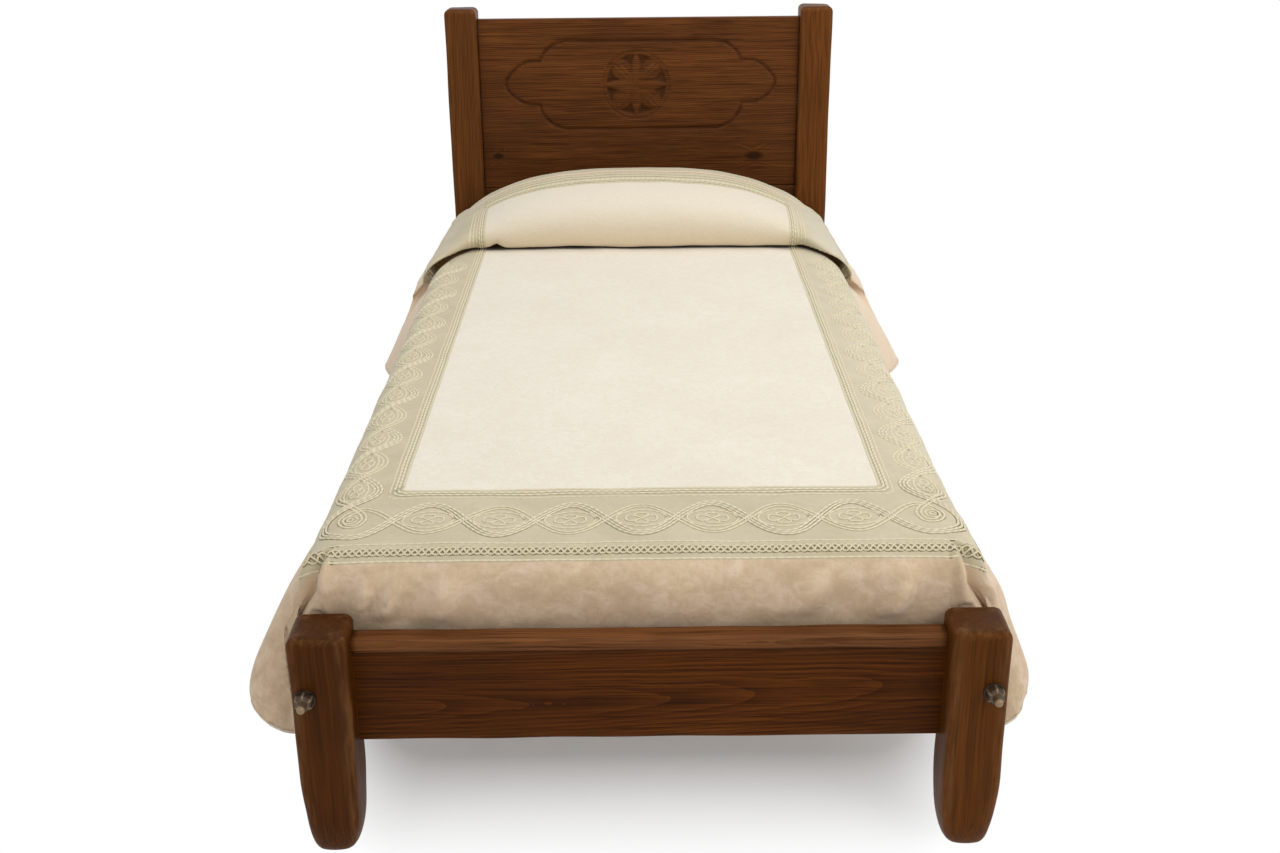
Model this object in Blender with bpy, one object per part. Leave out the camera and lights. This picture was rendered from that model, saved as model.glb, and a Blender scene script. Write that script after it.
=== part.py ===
"""Single bed in dark pine: panelled headboard, low footboard, slatted base, mattress, pillow and bedspread.

Metres, +Z up, +Y towards the head. The origin is on the floor under the middle of the bed.
"""
import math

import bmesh
import bpy
from mathutils import Vector

# Fits between touching pieces
SEAT_GAP = 0.0003
MATTRESS_SIDE_GAP = 0.004
MATTRESS_FOOT_GAP = 0.012
MATTRESS_HEAD_GAP = 0.028

# Mattress and pillow
MATTRESS_WIDTH = 0.900
MATTRESS_LENGTH = 2.000
MATTRESS_THICKNESS = 0.200
MATTRESS_CORNER_RADIUS = 0.060
MATTRESS_EDGE_RADIUS = 0.050
MATTRESS_CROWN = 0.004
MATTRESS_WAIST = 0.003
MATTRESS_BULGE = 0.021
MATTRESS_BULGE_RISE = 0.030
MATTRESS_RAIL_GAP = 0.004
MATTRESS_CROWN_INSET = 0.150
PILLOW_WIDTH = 0.760
PILLOW_DEPTH = 0.315
PILLOW_HEIGHT = 0.126
PILLOW_SEAM_HEIGHT = 0.045
PILLOW_DRAW_IN = 0.05
PILLOW_ROUNDNESS = 0.60
PILLOW_SQUARENESS = 0.57

# Posts
POST_SIDE = 0.080
FOOT_POST_HEIGHT = 0.356
HEAD_POST_HEIGHT = 0.939
POST_EDGE_RADIUS = 0.007
POST_TOP_RADIUS = 0.014
POST_TOE_INSET = 0.018
POST_TOE_HEIGHT = 0.065
POST_TOE_LEAN = 0.004

# Rails and headboard
SIDE_RAIL_THICKNESS = 0.030
SIDE_RAIL_INSET = 0.006
SIDE_RAIL_HOUSING = 0.010
RAIL_BOTTOM = 0.1655
RAIL_HEIGHT = 0.145
FOOT_RAIL_THICKNESS = 0.028
FOOT_RAIL_SETBACK = 0.047
CAP_HEIGHT = 0.020
CAP_OVERHANG = 0.012
CAP_NOSE_RADIUS = 0.0088
TENON_LENGTH = 0.035
TENON_THICKNESS = 0.012
TENON_SHOULDER = 0.016
HEAD_RAIL_BOTTOM = 0.367
HEAD_RAIL_HEIGHT = 0.113
HEAD_RAIL_THICKNESS = 0.030
HEAD_SETBACK = 0.020
PANEL_HEIGHT = 0.432
PANEL_THICKNESS = 0.024
PANEL_TONGUE_LENGTH = 0.010
PANEL_TONGUE_THICKNESS = 0.012
BOARD_EDGE_RADIUS = 0.003

# Slatted base
LEDGER_WIDTH = 0.024
LEDGER_HEIGHT = 0.030
LEDGER_TOP = 0.209
LEDGER_END_GAP = 0.040
SLAT_COUNT = 14
SLAT_WIDTH = 0.070
SLAT_THICKNESS = 0.018
SLAT_EDGE_RADIUS = 0.002
SCREW_RADIUS = 0.002
SCREW_HEAD_RADIUS = 0.004
SCREW_HEAD_DEPTH = 0.003
SCREW_LENGTH = 0.038
LEDGER_SCREW_COUNT = 5
LEDGER_SCREW_EVERY = 3
DOWEL_RADIUS = 0.005
DOWEL_DEPTH = 0.012

# Bed bolts, which pull the side rails against the posts
BOLT_RADIUS = 0.006
BOLT_HEIGHT = 0.264
BOLT_STAND_OUT = 0.034
BOLT_IN_RAIL = 0.085
BOLT_DOME = 0.003
NUT_ACROSS_FLATS = 0.023
NUT_HEIGHT = 0.014
NUT_CHAMFER = 0.002
WASHER_RADIUS = 0.0145
WASHER_THICKNESS = 0.003
ANCHOR_RADIUS = 0.009
ANCHOR_LENGTH = 0.022
ANCHOR_DEPTH = 0.060

# Bedspread: outer face of the cloth, draped over the mattress and the pillow
SPREAD_THICKNESS = 0.004
SPREAD_LIFT = 0.0005
SPREAD_EDGE_GAP = 0.003
SPREAD_EDGE_RADIUS = 0.052
SPREAD_EDGE_DROP = 0.002
SPREAD_EDGE_DROP_POWER = 8
SPREAD_HEM_Z = 0.162
SPREAD_HEM_RISE = 0.030
SPREAD_CORNER_RISE = 0.040
SPREAD_TUCK_Z = 0.252
SPREAD_RAIL_GAP = 0.013
SPREAD_HANG = 0.062
SPREAD_FOLD_DEPTH = 0.009
SPREAD_FOLD_LENGTH = 0.52
SPREAD_CORNER_FLARE_LEFT = 0.033
SPREAD_CORNER_FLARE_RIGHT = 0.008
SPREAD_CORNER_REACH = 0.16
SPREAD_WING_FLARE = 0.058
SPREAD_WING_AHEAD = 0.100
SPREAD_WING_REACH = 0.11
SPREAD_WING_REACH_BACK = 0.60
SPREAD_HANG_POWER = 0.72
COVER_RISE = 0.150
COVER_HALF_DEPTH = 0.205
COVER_HALF_WIDTH = 0.450
COVER_POWER_ALONG = 2.2
COVER_POWER_ACROSS = 2.2
COVER_ROUND_ALONG = 0.6
COVER_ROUND_ACROSS = 0.5
SPREAD_CELLS_ACROSS = 10
SPREAD_CELLS_FLAT = 12
SPREAD_CELLS_PILLOW = 8
SPREAD_ARC_STEPS = 3
SPREAD_HANG_STEPS = 3

# Corner pleat, from the side skirt round to the foot: turn of each line of cloth and how it falls
PLEAT_TURNS = (10, 20, 28, 42, 56, 76)
PLEAT_POWERS = (0.72, 0.60, 0.40, 0.90, 0.90, 0.90)

# Places worked out from the sizes above
RAIL_INNER_X = MATTRESS_WIDTH / 2 + MATTRESS_SIDE_GAP
RAIL_OUTER_X = RAIL_INNER_X + SIDE_RAIL_THICKNESS
RAIL_X = (RAIL_INNER_X + RAIL_OUTER_X) / 2
POST_OUTER_X = RAIL_OUTER_X + SIDE_RAIL_INSET
POST_X = POST_OUTER_X - POST_SIDE / 2
POST_INNER_X = POST_OUTER_X - POST_SIDE
INNER_LENGTH = MATTRESS_LENGTH + MATTRESS_FOOT_GAP + MATTRESS_HEAD_GAP
FOOT_POST_BACK_Y = -INNER_LENGTH / 2
FOOT_POST_Y = FOOT_POST_BACK_Y - POST_SIDE / 2
FOOT_POST_FRONT_Y = FOOT_POST_BACK_Y - POST_SIDE
HEAD_POST_FRONT_Y = INNER_LENGTH / 2
HEAD_POST_Y = HEAD_POST_FRONT_Y + POST_SIDE / 2
RAIL_Z = RAIL_BOTTOM + RAIL_HEIGHT / 2
RAIL_TOP = RAIL_BOTTOM + RAIL_HEIGHT
FOOT_RAIL_Y = FOOT_POST_FRONT_Y + FOOT_RAIL_SETBACK + FOOT_RAIL_THICKNESS / 2
PANEL_BOTTOM = HEAD_RAIL_BOTTOM + HEAD_RAIL_HEIGHT + SEAT_GAP
PANEL_Y = HEAD_POST_FRONT_Y + HEAD_SETBACK + PANEL_THICKNESS / 2
HEAD_RAIL_Y = HEAD_POST_FRONT_Y + HEAD_SETBACK + HEAD_RAIL_THICKNESS / 2
LEDGER_X = RAIL_INNER_X - SEAT_GAP - LEDGER_WIDTH / 2
LEDGER_LENGTH = INNER_LENGTH - 2 * LEDGER_END_GAP
SLAT_PITCH = (LEDGER_LENGTH - SLAT_WIDTH) / (SLAT_COUNT - 1)
SLAT_Z = LEDGER_TOP + SEAT_GAP + SLAT_THICKNESS / 2
SLAT_TOP = SLAT_Z + SLAT_THICKNESS / 2
MATTRESS_BASE = SLAT_TOP + SEAT_GAP
MATTRESS_TOP = MATTRESS_BASE + MATTRESS_THICKNESS
MATTRESS_FOOT_Y = FOOT_POST_BACK_Y + MATTRESS_FOOT_GAP
MATTRESS_HEAD_Y = MATTRESS_FOOT_Y + MATTRESS_LENGTH
MATTRESS_Y = (MATTRESS_FOOT_Y + MATTRESS_HEAD_Y) / 2
SPREAD_TOP = MATTRESS_TOP + SPREAD_LIFT + SPREAD_THICKNESS
SPREAD_SIDE_X = MATTRESS_WIDTH / 2 + MATTRESS_BULGE + SPREAD_EDGE_GAP + SPREAD_THICKNESS
SPREAD_EDGE_X = SPREAD_SIDE_X - SPREAD_EDGE_RADIUS
SPREAD_FOOT_Y = MATTRESS_FOOT_Y - SPREAD_EDGE_GAP - SPREAD_THICKNESS
SPREAD_EDGE_Y = SPREAD_FOOT_Y + SPREAD_EDGE_RADIUS
PILLOW_Y = MATTRESS_HEAD_Y - COVER_HALF_DEPTH
CREASE_Y = PILLOW_Y - COVER_HALF_DEPTH

# Colours, linear
DARK_PINE = (0.066, 0.021, 0.006)
RAIL_PINE = (0.080, 0.026, 0.007)
PANEL_PINE = (0.090, 0.031, 0.009)
PALE_PINE = (0.480, 0.300, 0.150)
OLD_IRON = (0.060, 0.045, 0.035)
TICKING = (0.760, 0.720, 0.640)
COTTON = (0.830, 0.800, 0.740)
SPREAD_CLOTH = (0.640, 0.540, 0.400)

SHARP_ANGLE = math.radians(35)
SIDES = {"left": -1, "right": 1}
ROUND_SIDES = 24
DOWEL_SIDES = 8
ANCHOR_SIDES = 12
EDGE_STEPS = 2
POST_STEPS = 5
CAP_STEPS = 4
MATTRESS_STEPS = 4
PILLOW_SIDES = 32
PILLOW_LATITUDES = 10
UP = Vector((0, 0, 1))


def clear_scene():
    for old in list(bpy.data.objects):
        bpy.data.objects.remove(old, do_unlink=True)


def make_material(name, colour, roughness, metallic=0.0):
    material = bpy.data.materials.new(name)
    material.use_nodes = True
    shader = material.node_tree.nodes["Principled BSDF"]
    shader.inputs["Base Color"].default_value = (*colour, 1)
    shader.inputs["Roughness"].default_value = roughness
    shader.inputs["Metallic"].default_value = metallic
    return material


def make_object(name, form, material, location=(0, 0, 0), parent=None):
    """Turns a bmesh, drawn around its own reference point, into a placed object."""
    mesh = bpy.data.meshes.new(name)
    form.to_mesh(mesh)
    form.free()
    mesh.shade_smooth()
    mesh.set_sharp_from_angle(angle=SHARP_ANGLE)
    piece = bpy.data.objects.new(name, mesh)
    bpy.context.collection.objects.link(piece)
    piece.location = location
    piece.parent = parent
    if material:
        mesh.materials.append(material)
    return piece


def make_empty(name, location, parent=None):
    empty = bpy.data.objects.new(name, None)
    bpy.context.collection.objects.link(empty)
    empty.parent = parent
    empty.location = location
    return empty


def rounded_rectangle(width, height, radius, steps):
    """Points of a rectangle with round corners, counter-clockwise around the origin."""
    points = []
    for quarter, (right, up) in enumerate(((1, 1), (-1, 1), (-1, -1), (1, -1))):
        for step in range(steps + 1):
            angle = math.pi / 2 * (quarter + step / steps)
            a = right * (width / 2 - radius) + radius * math.cos(angle)
            b = up * (height / 2 - radius) + radius * math.sin(angle)
            points.append((a, b))
    return points


def circle(radius, count):
    return [(radius * math.cos(2 * math.pi * i / count), radius * math.sin(2 * math.pi * i / count))
            for i in range(count)]


def add_loft(form, rings):
    """Adds one closed body through rings of equal length, with flat ends."""
    loops = [[form.verts.new(point) for point in ring] for ring in rings]
    faces = [form.faces.new(loops[0]), form.faces.new(loops[-1])]
    for low, high in zip(loops, loops[1:]):
        for i in range(len(low)):
            j = (i + 1) % len(low)
            faces.append(form.faces.new((low[i], low[j], high[j], high[i])))
    bmesh.ops.recalc_face_normals(form, faces=faces)


def loft(rings):
    form = bmesh.new()
    add_loft(form, rings)
    return form


def add_pipe(form, outer_rings, bore):
    """Adds one closed body between an outer loft and a straight bore of as many points."""
    inner_rings = [[(x, y, ring[0][2]) for x, y in bore] for ring in (outer_rings[-1], outer_rings[0])]
    loops = [[form.verts.new(point) for point in ring] for ring in outer_rings + inner_rings]
    faces = []
    for low, high in zip(loops, loops[1:] + loops[:1]):
        for i in range(len(low)):
            j = (i + 1) % len(low)
            faces.append(form.faces.new((low[i], low[j], high[j], high[i])))
    bmesh.ops.recalc_face_normals(form, faces=faces)


def along_x(outline, x):
    return [(x, a, b) for a, b in outline]


def along_y(outline, y):
    return [(-a, y, b) for a, b in outline]


def along_z(outline, z):
    return [(a, b, z) for a, b in outline]


def tenoned_board(length, outline, tenon, tenon_length):
    """A board along X of the given outline, with a tenon on each end."""
    end = length / 2
    rings = [along_x(tenon, -end - tenon_length), along_x(tenon, -end), along_x(outline, -end),
             along_x(outline, end), along_x(tenon, end), along_x(tenon, end + tenon_length)]
    return loft(rings)


def make_cutter(name, form, location):
    cutter = make_object(name, form, None, location)
    cutter.hide_render = True
    cutter.display_type = "WIRE"
    return cutter


def cut(piece, cutter):
    modifier = piece.modifiers.new(cutter.name, "BOOLEAN")
    modifier.operation = "DIFFERENCE"
    modifier.solver = "EXACT"
    modifier.object = cutter


def box_cutter(name, size, location):
    half_x, half_y, half_z = (length / 2 for length in size)
    outline = [(half_x, half_y), (-half_x, half_y), (-half_x, -half_y), (half_x, -half_y)]
    form = loft([along_z(outline, -half_z), along_z(outline, half_z)])
    return make_cutter(name, form, location)


def post(name, height, side, y, material, parent):
    """Square post with eased arrises, a worn top and a strongly rounded toe that leans outwards."""
    stages = []
    for step in range(POST_STEPS + 1):
        angle = math.pi / 2 * step / POST_STEPS
        share = 1 - math.sin(angle)
        rise = POST_TOE_HEIGHT * (1 - math.cos(angle))
        stages.append((POST_TOE_INSET * share, side * POST_TOE_LEAN * share, rise))
    for step in range(POST_STEPS + 1):
        angle = math.pi / 2 * step / POST_STEPS
        below_top = POST_TOP_RADIUS * (1 - math.sin(angle))
        stages.append((POST_TOP_RADIUS * (1 - math.cos(angle)), 0, height - below_top))
    rings = []
    for inset, lean, z in stages:
        width = POST_SIDE - 2 * inset
        outline = rounded_rectangle(width, width, POST_EDGE_RADIUS, EDGE_STEPS)
        rings.append([(a + lean, b, z) for a, b in outline])
    return make_object(name, loft(rings), material, (side * POST_X, y, 0), parent)


def make_posts(pine, parent):
    posts = {}
    for word, side in SIDES.items():
        posts["foot", word] = post(f"foot_post_{word}", FOOT_POST_HEIGHT, side, FOOT_POST_Y, pine, parent)
        posts["head", word] = post(f"head_post_{word}", HEAD_POST_HEIGHT, side, HEAD_POST_Y, pine, parent)
    return posts


def mortise(piece, name, tenon_width, tenon_height, depth, side, y, z):
    """A slot in a post's inner face that takes a tenon with the seat gap all round."""
    size = (2 * (depth + SEAT_GAP), tenon_width + 2 * SEAT_GAP, tenon_height + 2 * SEAT_GAP)
    cut(piece, box_cutter(name, size, (side * POST_INNER_X, y, z)))


def make_footboard(posts, pine, parent):
    """Foot rail tenoned into the foot posts, with a nosed cap lying on it."""
    length = 2 * (POST_INNER_X - SEAT_GAP)
    tenon_height = RAIL_HEIGHT - 2 * TENON_SHOULDER
    outline = rounded_rectangle(FOOT_RAIL_THICKNESS, RAIL_HEIGHT, BOARD_EDGE_RADIUS, EDGE_STEPS)
    tenon = rounded_rectangle(TENON_THICKNESS, tenon_height, BOARD_EDGE_RADIUS, EDGE_STEPS)
    form = tenoned_board(length, outline, tenon, TENON_LENGTH)
    make_object("foot_rail", form, pine, (0, FOOT_RAIL_Y, RAIL_Z), parent)
    for word, side in SIDES.items():
        name = f"foot_rail_mortise_{word}"
        mortise(posts["foot", word], name, TENON_THICKNESS, tenon_height, TENON_LENGTH, side,
                FOOT_RAIL_Y, RAIL_Z)
    depth = FOOT_RAIL_THICKNESS + CAP_OVERHANG
    cap_outline = rounded_rectangle(depth, CAP_HEIGHT, CAP_NOSE_RADIUS, CAP_STEPS)
    cap = loft([along_x(cap_outline, -length / 2), along_x(cap_outline, length / 2)])
    cap_y = FOOT_RAIL_Y - CAP_OVERHANG / 2
    make_object("foot_rail_cap", cap, pine, (0, cap_y, RAIL_TOP + SEAT_GAP + CAP_HEIGHT / 2), parent)


def make_headboard(posts, panel_pine, rail_pine, parent):
    """Wide panel grooved into the head posts above a tenoned lower rail."""
    length = 2 * (POST_INNER_X - SEAT_GAP)
    panel_z = PANEL_BOTTOM + PANEL_HEIGHT / 2
    outline = rounded_rectangle(PANEL_THICKNESS, PANEL_HEIGHT, BOARD_EDGE_RADIUS, EDGE_STEPS)
    tongue_height = PANEL_HEIGHT - 2 * TENON_SHOULDER
    tongue = rounded_rectangle(PANEL_TONGUE_THICKNESS, tongue_height, BOARD_EDGE_RADIUS, EDGE_STEPS)
    form = tenoned_board(length, outline, tongue, PANEL_TONGUE_LENGTH)
    make_object("headboard_panel", form, panel_pine, (0, PANEL_Y, panel_z), parent)
    rail_z = HEAD_RAIL_BOTTOM + HEAD_RAIL_HEIGHT / 2
    rail_outline = rounded_rectangle(HEAD_RAIL_THICKNESS, HEAD_RAIL_HEIGHT, BOARD_EDGE_RADIUS, EDGE_STEPS)
    tenon_height = HEAD_RAIL_HEIGHT - 2 * TENON_SHOULDER
    tenon = rounded_rectangle(TENON_THICKNESS, tenon_height, BOARD_EDGE_RADIUS, EDGE_STEPS)
    rail = tenoned_board(length, rail_outline, tenon, TENON_LENGTH)
    make_object("headboard_lower_rail", rail, rail_pine, (0, HEAD_RAIL_Y, rail_z), parent)
    for word, side in SIDES.items():
        piece = posts["head", word]
        mortise(piece, f"panel_groove_{word}", PANEL_TONGUE_THICKNESS, tongue_height,
                PANEL_TONGUE_LENGTH, side, PANEL_Y, panel_z)
        mortise(piece, f"head_rail_mortise_{word}", TENON_THICKNESS, tenon_height,
                TENON_LENGTH, side, HEAD_RAIL_Y, rail_z)


def make_side_rails(posts, pine, parent):
    """Side rails whose ends are housed in the posts."""
    length = INNER_LENGTH + 2 * SIDE_RAIL_HOUSING
    outline = rounded_rectangle(SIDE_RAIL_THICKNESS, RAIL_HEIGHT, BOARD_EDGE_RADIUS, EDGE_STEPS)
    depth = 2 * (SIDE_RAIL_HOUSING + SEAT_GAP)
    housing = (SIDE_RAIL_THICKNESS + 2 * SEAT_GAP, depth, RAIL_HEIGHT + 2 * SEAT_GAP)
    rails = {}
    for word, side in SIDES.items():
        form = loft([along_y(outline, -length / 2), along_y(outline, length / 2)])
        rails[word] = make_object(f"side_rail_{word}", form, pine, (side * RAIL_X, 0, RAIL_Z), parent)
        for end, y in (("foot", FOOT_POST_BACK_Y), ("head", HEAD_POST_FRONT_Y)):
            cutter = box_cutter(f"side_rail_housing_{end}_{word}", housing, (side * RAIL_X, y, RAIL_Z))
            cut(posts[end, word], cutter)
    return rails


def cylinder_rings(radius, start, end, count=ROUND_SIDES):
    return [along_z(circle(radius, count), start), along_z(circle(radius, count), end)]


def hexagon_points():
    """Points round a hexagon, as many as round the bolt's bore, so that the two pair up."""
    points = []
    for i in range(ROUND_SIDES):
        angle = 2 * math.pi * i / ROUND_SIDES
        nearest_flat = round(angle / (math.pi / 3)) * math.pi / 3
        reach = NUT_ACROSS_FLATS / 2 / math.cos(angle - nearest_flat)
        points.append((reach * math.cos(angle), reach * math.sin(angle)))
    return points


def stud_form():
    """Stud along +Z from its domed outer end, which is at the reference point."""
    rings = []
    for step in range(EDGE_STEPS + 1):
        angle = math.pi / 2 * step / EDGE_STEPS
        radius = BOLT_RADIUS - BOLT_DOME * (1 - math.sin(angle))
        rings.append(along_z(circle(radius, ROUND_SIDES), BOLT_DOME * (1 - math.cos(angle))))
    rings.append(along_z(circle(BOLT_RADIUS, ROUND_SIDES), BOLT_STAND_OUT + POST_SIDE + BOLT_IN_RAIL))
    return loft(rings)


def nut_form(bore):
    """Hexagon nut along +Z with its outer corners eased."""
    hexagon = hexagon_points()
    keep = 1 - NUT_CHAMFER / (NUT_ACROSS_FLATS / 2)
    eased = [(x * keep, y * keep) for x, y in hexagon]
    rings = [along_z(eased, 0), along_z(hexagon, NUT_CHAMFER / 2), along_z(hexagon, NUT_HEIGHT)]
    form = bmesh.new()
    add_pipe(form, rings, bore)
    return form


def washer_form(bore):
    form = bmesh.new()
    add_pipe(form, cylinder_rings(WASHER_RADIUS, 0, WASHER_THICKNESS), bore)
    return form


def make_bed_bolts(posts, rails, iron, parent):
    """At each post a stud runs into a barrel anchor in the rail, with a nut and washer outside."""
    bore = circle(BOLT_RADIUS + SEAT_GAP, ROUND_SIDES)
    washer_start = BOLT_STAND_OUT - SEAT_GAP - WASHER_THICKNESS
    nut_start = washer_start - SEAT_GAP - NUT_HEIGHT
    reach = BOLT_STAND_OUT + POST_SIDE + BOLT_IN_RAIL
    for word, side in SIDES.items():
        for end, inward in (("foot", 1), ("head", -1)):
            place = f"{end}_{word}"
            turn = (-inward * math.pi / 2, 0, 0)
            tip_y = -inward * (INNER_LENGTH / 2 + POST_SIDE + BOLT_STAND_OUT)
            fasteners = [("bed_bolt", stud_form(), 0), ("bed_bolt_nut", nut_form(bore), nut_start),
                         ("bed_bolt_washer", washer_form(bore), washer_start)]
            for name, form, depth in fasteners:
                location = (side * RAIL_X, tip_y + inward * depth, BOLT_HEIGHT)
                make_object(f"{name}_{place}", form, iron, location, parent).rotation_euler = turn
            form = loft(cylinder_rings(BOLT_RADIUS + SEAT_GAP, 0, reach + SEAT_GAP))
            bolt_bore = make_cutter(f"bolt_bore_{place}", form, (side * RAIL_X, tip_y, BOLT_HEIGHT))
            bolt_bore.rotation_euler = turn
            cut(posts[end, word], bolt_bore)
            cut(rails[word], bolt_bore)
            anchor_y = -inward * (INNER_LENGTH / 2 - ANCHOR_DEPTH)
            make_anchor(place, side, anchor_y, rails[word], bolt_bore, iron, parent)


def make_anchor(place, side, y, rail, bolt_bore, iron, parent):
    """Barrel set into the rail from its inner face and pierced by the bolt."""
    location = (side * (RAIL_INNER_X + SEAT_GAP), y, BOLT_HEIGHT)
    turn = (0, side * math.pi / 2, 0)
    barrel = loft(cylinder_rings(ANCHOR_RADIUS, 0, ANCHOR_LENGTH, ANCHOR_SIDES))
    anchor = make_object(f"bed_bolt_anchor_{place}", barrel, iron, location, parent)
    anchor.rotation_euler = turn
    radius = ANCHOR_RADIUS + SEAT_GAP
    hollow = loft(cylinder_rings(radius, -ANCHOR_LENGTH, ANCHOR_LENGTH + SEAT_GAP, ANCHOR_SIDES))
    pocket = make_cutter(f"anchor_pocket_{place}", hollow, location)
    pocket.rotation_euler = turn
    cut(anchor, bolt_bore)
    cut(rail, pocket)


def screw_rings(gap):
    """A countersunk screw from its head at zero down to its point, grown by the gap for its hole."""
    return [along_z(circle(SCREW_HEAD_RADIUS + gap, DOWEL_SIDES), gap),
            along_z(circle(SCREW_RADIUS + gap, DOWEL_SIDES), -SCREW_HEAD_DEPTH),
            along_z(circle(SCREW_RADIUS + gap, DOWEL_SIDES), -SCREW_LENGTH - gap)]


def make_ledgers(rails, pine, iron, parent):
    """Battens screwed along the side rails, which carry the slats."""
    z = LEDGER_TOP - LEDGER_HEIGHT / 2
    outline = rounded_rectangle(LEDGER_WIDTH, LEDGER_HEIGHT, SLAT_EDGE_RADIUS, 1)
    ledgers = {}
    for word, side in SIDES.items():
        form = loft([along_y(outline, -LEDGER_LENGTH / 2), along_y(outline, LEDGER_LENGTH / 2)])
        ledgers[word] = make_object(f"slat_ledger_{word}", form, pine, (side * LEDGER_X, 0, z), parent)
        head_x = side * (LEDGER_X - LEDGER_WIDTH / 2 + SEAT_GAP)
        turn = (0, -side * math.pi / 2, 0)
        for number in range(LEDGER_SCREW_COUNT):
            y = slat_y(0) + SLAT_PITCH / 2 + number * LEDGER_SCREW_EVERY * SLAT_PITCH
            name = f"{word}_{number + 1}"
            screw = make_object(f"ledger_screw_{name}", loft(screw_rings(0)), iron, (head_x, y, z), parent)
            screw.rotation_euler = turn
            hole = make_cutter(f"ledger_screw_hole_{name}", loft(screw_rings(SEAT_GAP)), (head_x, y, z))
            hole.rotation_euler = turn
            cut(ledgers[word], hole)
            cut(rails[word], hole)
    return ledgers


def slat_y(number):
    return -(LEDGER_LENGTH - SLAT_WIDTH) / 2 + number * SLAT_PITCH


def make_slats(ledgers, pine, parent):
    """Slats across the bed, each located on the ledgers by a dowel under either end."""
    outline = rounded_rectangle(SLAT_WIDTH, SLAT_THICKNESS, SLAT_EDGE_RADIUS, 1)
    end = RAIL_INNER_X - MATTRESS_SIDE_GAP
    for number in range(SLAT_COUNT):
        form = loft([along_x(outline, -end), along_x(outline, end)])
        slat = make_object(f"slat_{number + 1:02d}", form, pine, (0, slat_y(number), SLAT_Z), parent)
        for word, side in SIDES.items():
            name = f"{number + 1:02d}_{word}"
            foot = (side * LEDGER_X, slat_y(number), LEDGER_TOP - DOWEL_DEPTH)
            length = DOWEL_DEPTH + SEAT_GAP + SLAT_THICKNESS / 2
            pin = loft(cylinder_rings(DOWEL_RADIUS, 0, length, DOWEL_SIDES))
            dowel = make_cutter(f"slat_dowel_{name}", pin, foot)
            join = slat.modifiers.new(dowel.name, "BOOLEAN")
            join.operation = "UNION"
            join.solver = "EXACT"
            join.object = dowel
            socket = loft(cylinder_rings(DOWEL_RADIUS + SEAT_GAP, -SEAT_GAP, length, DOWEL_SIDES))
            cut(ledgers[word], make_cutter(f"slat_dowel_socket_{name}", socket, foot))


def make_mattress(ticking, parent):
    """Soft block, drawn from its underside up: it bulges over the side rails and its top is crowned."""
    radius = MATTRESS_EDGE_RADIUS
    bulge_start = RAIL_TOP + MATTRESS_RAIL_GAP - MATTRESS_BASE
    edge_top = MATTRESS_THICKNESS - MATTRESS_CROWN
    stages = []
    for step in range(MATTRESS_STEPS + 1):
        angle = math.pi / 2 * step / MATTRESS_STEPS
        stages.append((radius * (1 - math.sin(angle)), 0, radius * (1 - math.cos(angle))))
    stages.append((MATTRESS_WAIST, 0, (radius + bulge_start) / 2))
    stages.append((0, 0, bulge_start))
    stages.append((0, MATTRESS_BULGE, bulge_start + MATTRESS_BULGE_RISE))
    for step in range(MATTRESS_STEPS + 1):
        angle = math.pi / 2 * step / MATTRESS_STEPS
        below_edge = radius * (1 - math.sin(angle))
        stages.append((radius * (1 - math.cos(angle)), MATTRESS_BULGE, edge_top - below_edge))
    stages.append((MATTRESS_CROWN_INSET, MATTRESS_BULGE, MATTRESS_THICKNESS))
    rings = []
    for inset, bulge, z in stages:
        width = MATTRESS_WIDTH - 2 * inset + 2 * bulge
        length = MATTRESS_LENGTH - 2 * inset
        outline = rounded_rectangle(width, length, MATTRESS_CORNER_RADIUS, MATTRESS_STEPS)
        rings.append(along_z(outline, z))
    make_object("mattress", loft(rings), ticking, parent=parent)


def signed_power(value, power):
    return math.copysign(abs(value) ** power, value)


def make_pillow(cotton, parent):
    """Full pillow with a crown and sides drawn in between its corners, drawn from its underside up."""
    rings = []
    for step in range(1, PILLOW_LATITUDES):
        angle = math.pi * (step / PILLOW_LATITUDES - 0.5)
        reach = math.cos(angle) ** PILLOW_ROUNDNESS
        part = PILLOW_SEAM_HEIGHT if angle < 0 else PILLOW_HEIGHT - PILLOW_SEAM_HEIGHT
        z = PILLOW_SEAM_HEIGHT + part * math.sin(angle)
        ring = []
        for i in range(PILLOW_SIDES):
            turn = 2 * math.pi * i / PILLOW_SIDES
            drawn = reach * (1 - PILLOW_DRAW_IN * (1 + math.cos(4 * turn)) / 2)
            across = signed_power(math.cos(turn), PILLOW_SQUARENESS) * drawn * PILLOW_WIDTH / 2
            along = signed_power(math.sin(turn), PILLOW_SQUARENESS) * drawn * PILLOW_DEPTH / 2
            ring.append((across, along, z))
        rings.append(ring)
    lowest = rings[0][0][2]
    rings = [[(x, y, z - lowest) for x, y, z in ring] for ring in rings]
    make_object("pillow", loft(rings), cotton, parent=parent)


def spread_height(x, y):
    """Outer height of the bedspread where it lies on the mattress and swells over the pillow."""
    across = min(abs(x) / COVER_HALF_WIDTH, 1)
    along = min(abs(y - PILLOW_Y) / COVER_HALF_DEPTH, 1)
    swell = (1 - along ** COVER_POWER_ALONG) ** COVER_ROUND_ALONG
    swell *= (1 - across ** COVER_POWER_ACROSS) ** COVER_ROUND_ACROSS
    drop = SPREAD_EDGE_DROP * (abs(x) / SPREAD_EDGE_X) ** SPREAD_EDGE_DROP_POWER
    return SPREAD_TOP - drop + COVER_RISE * swell


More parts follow.
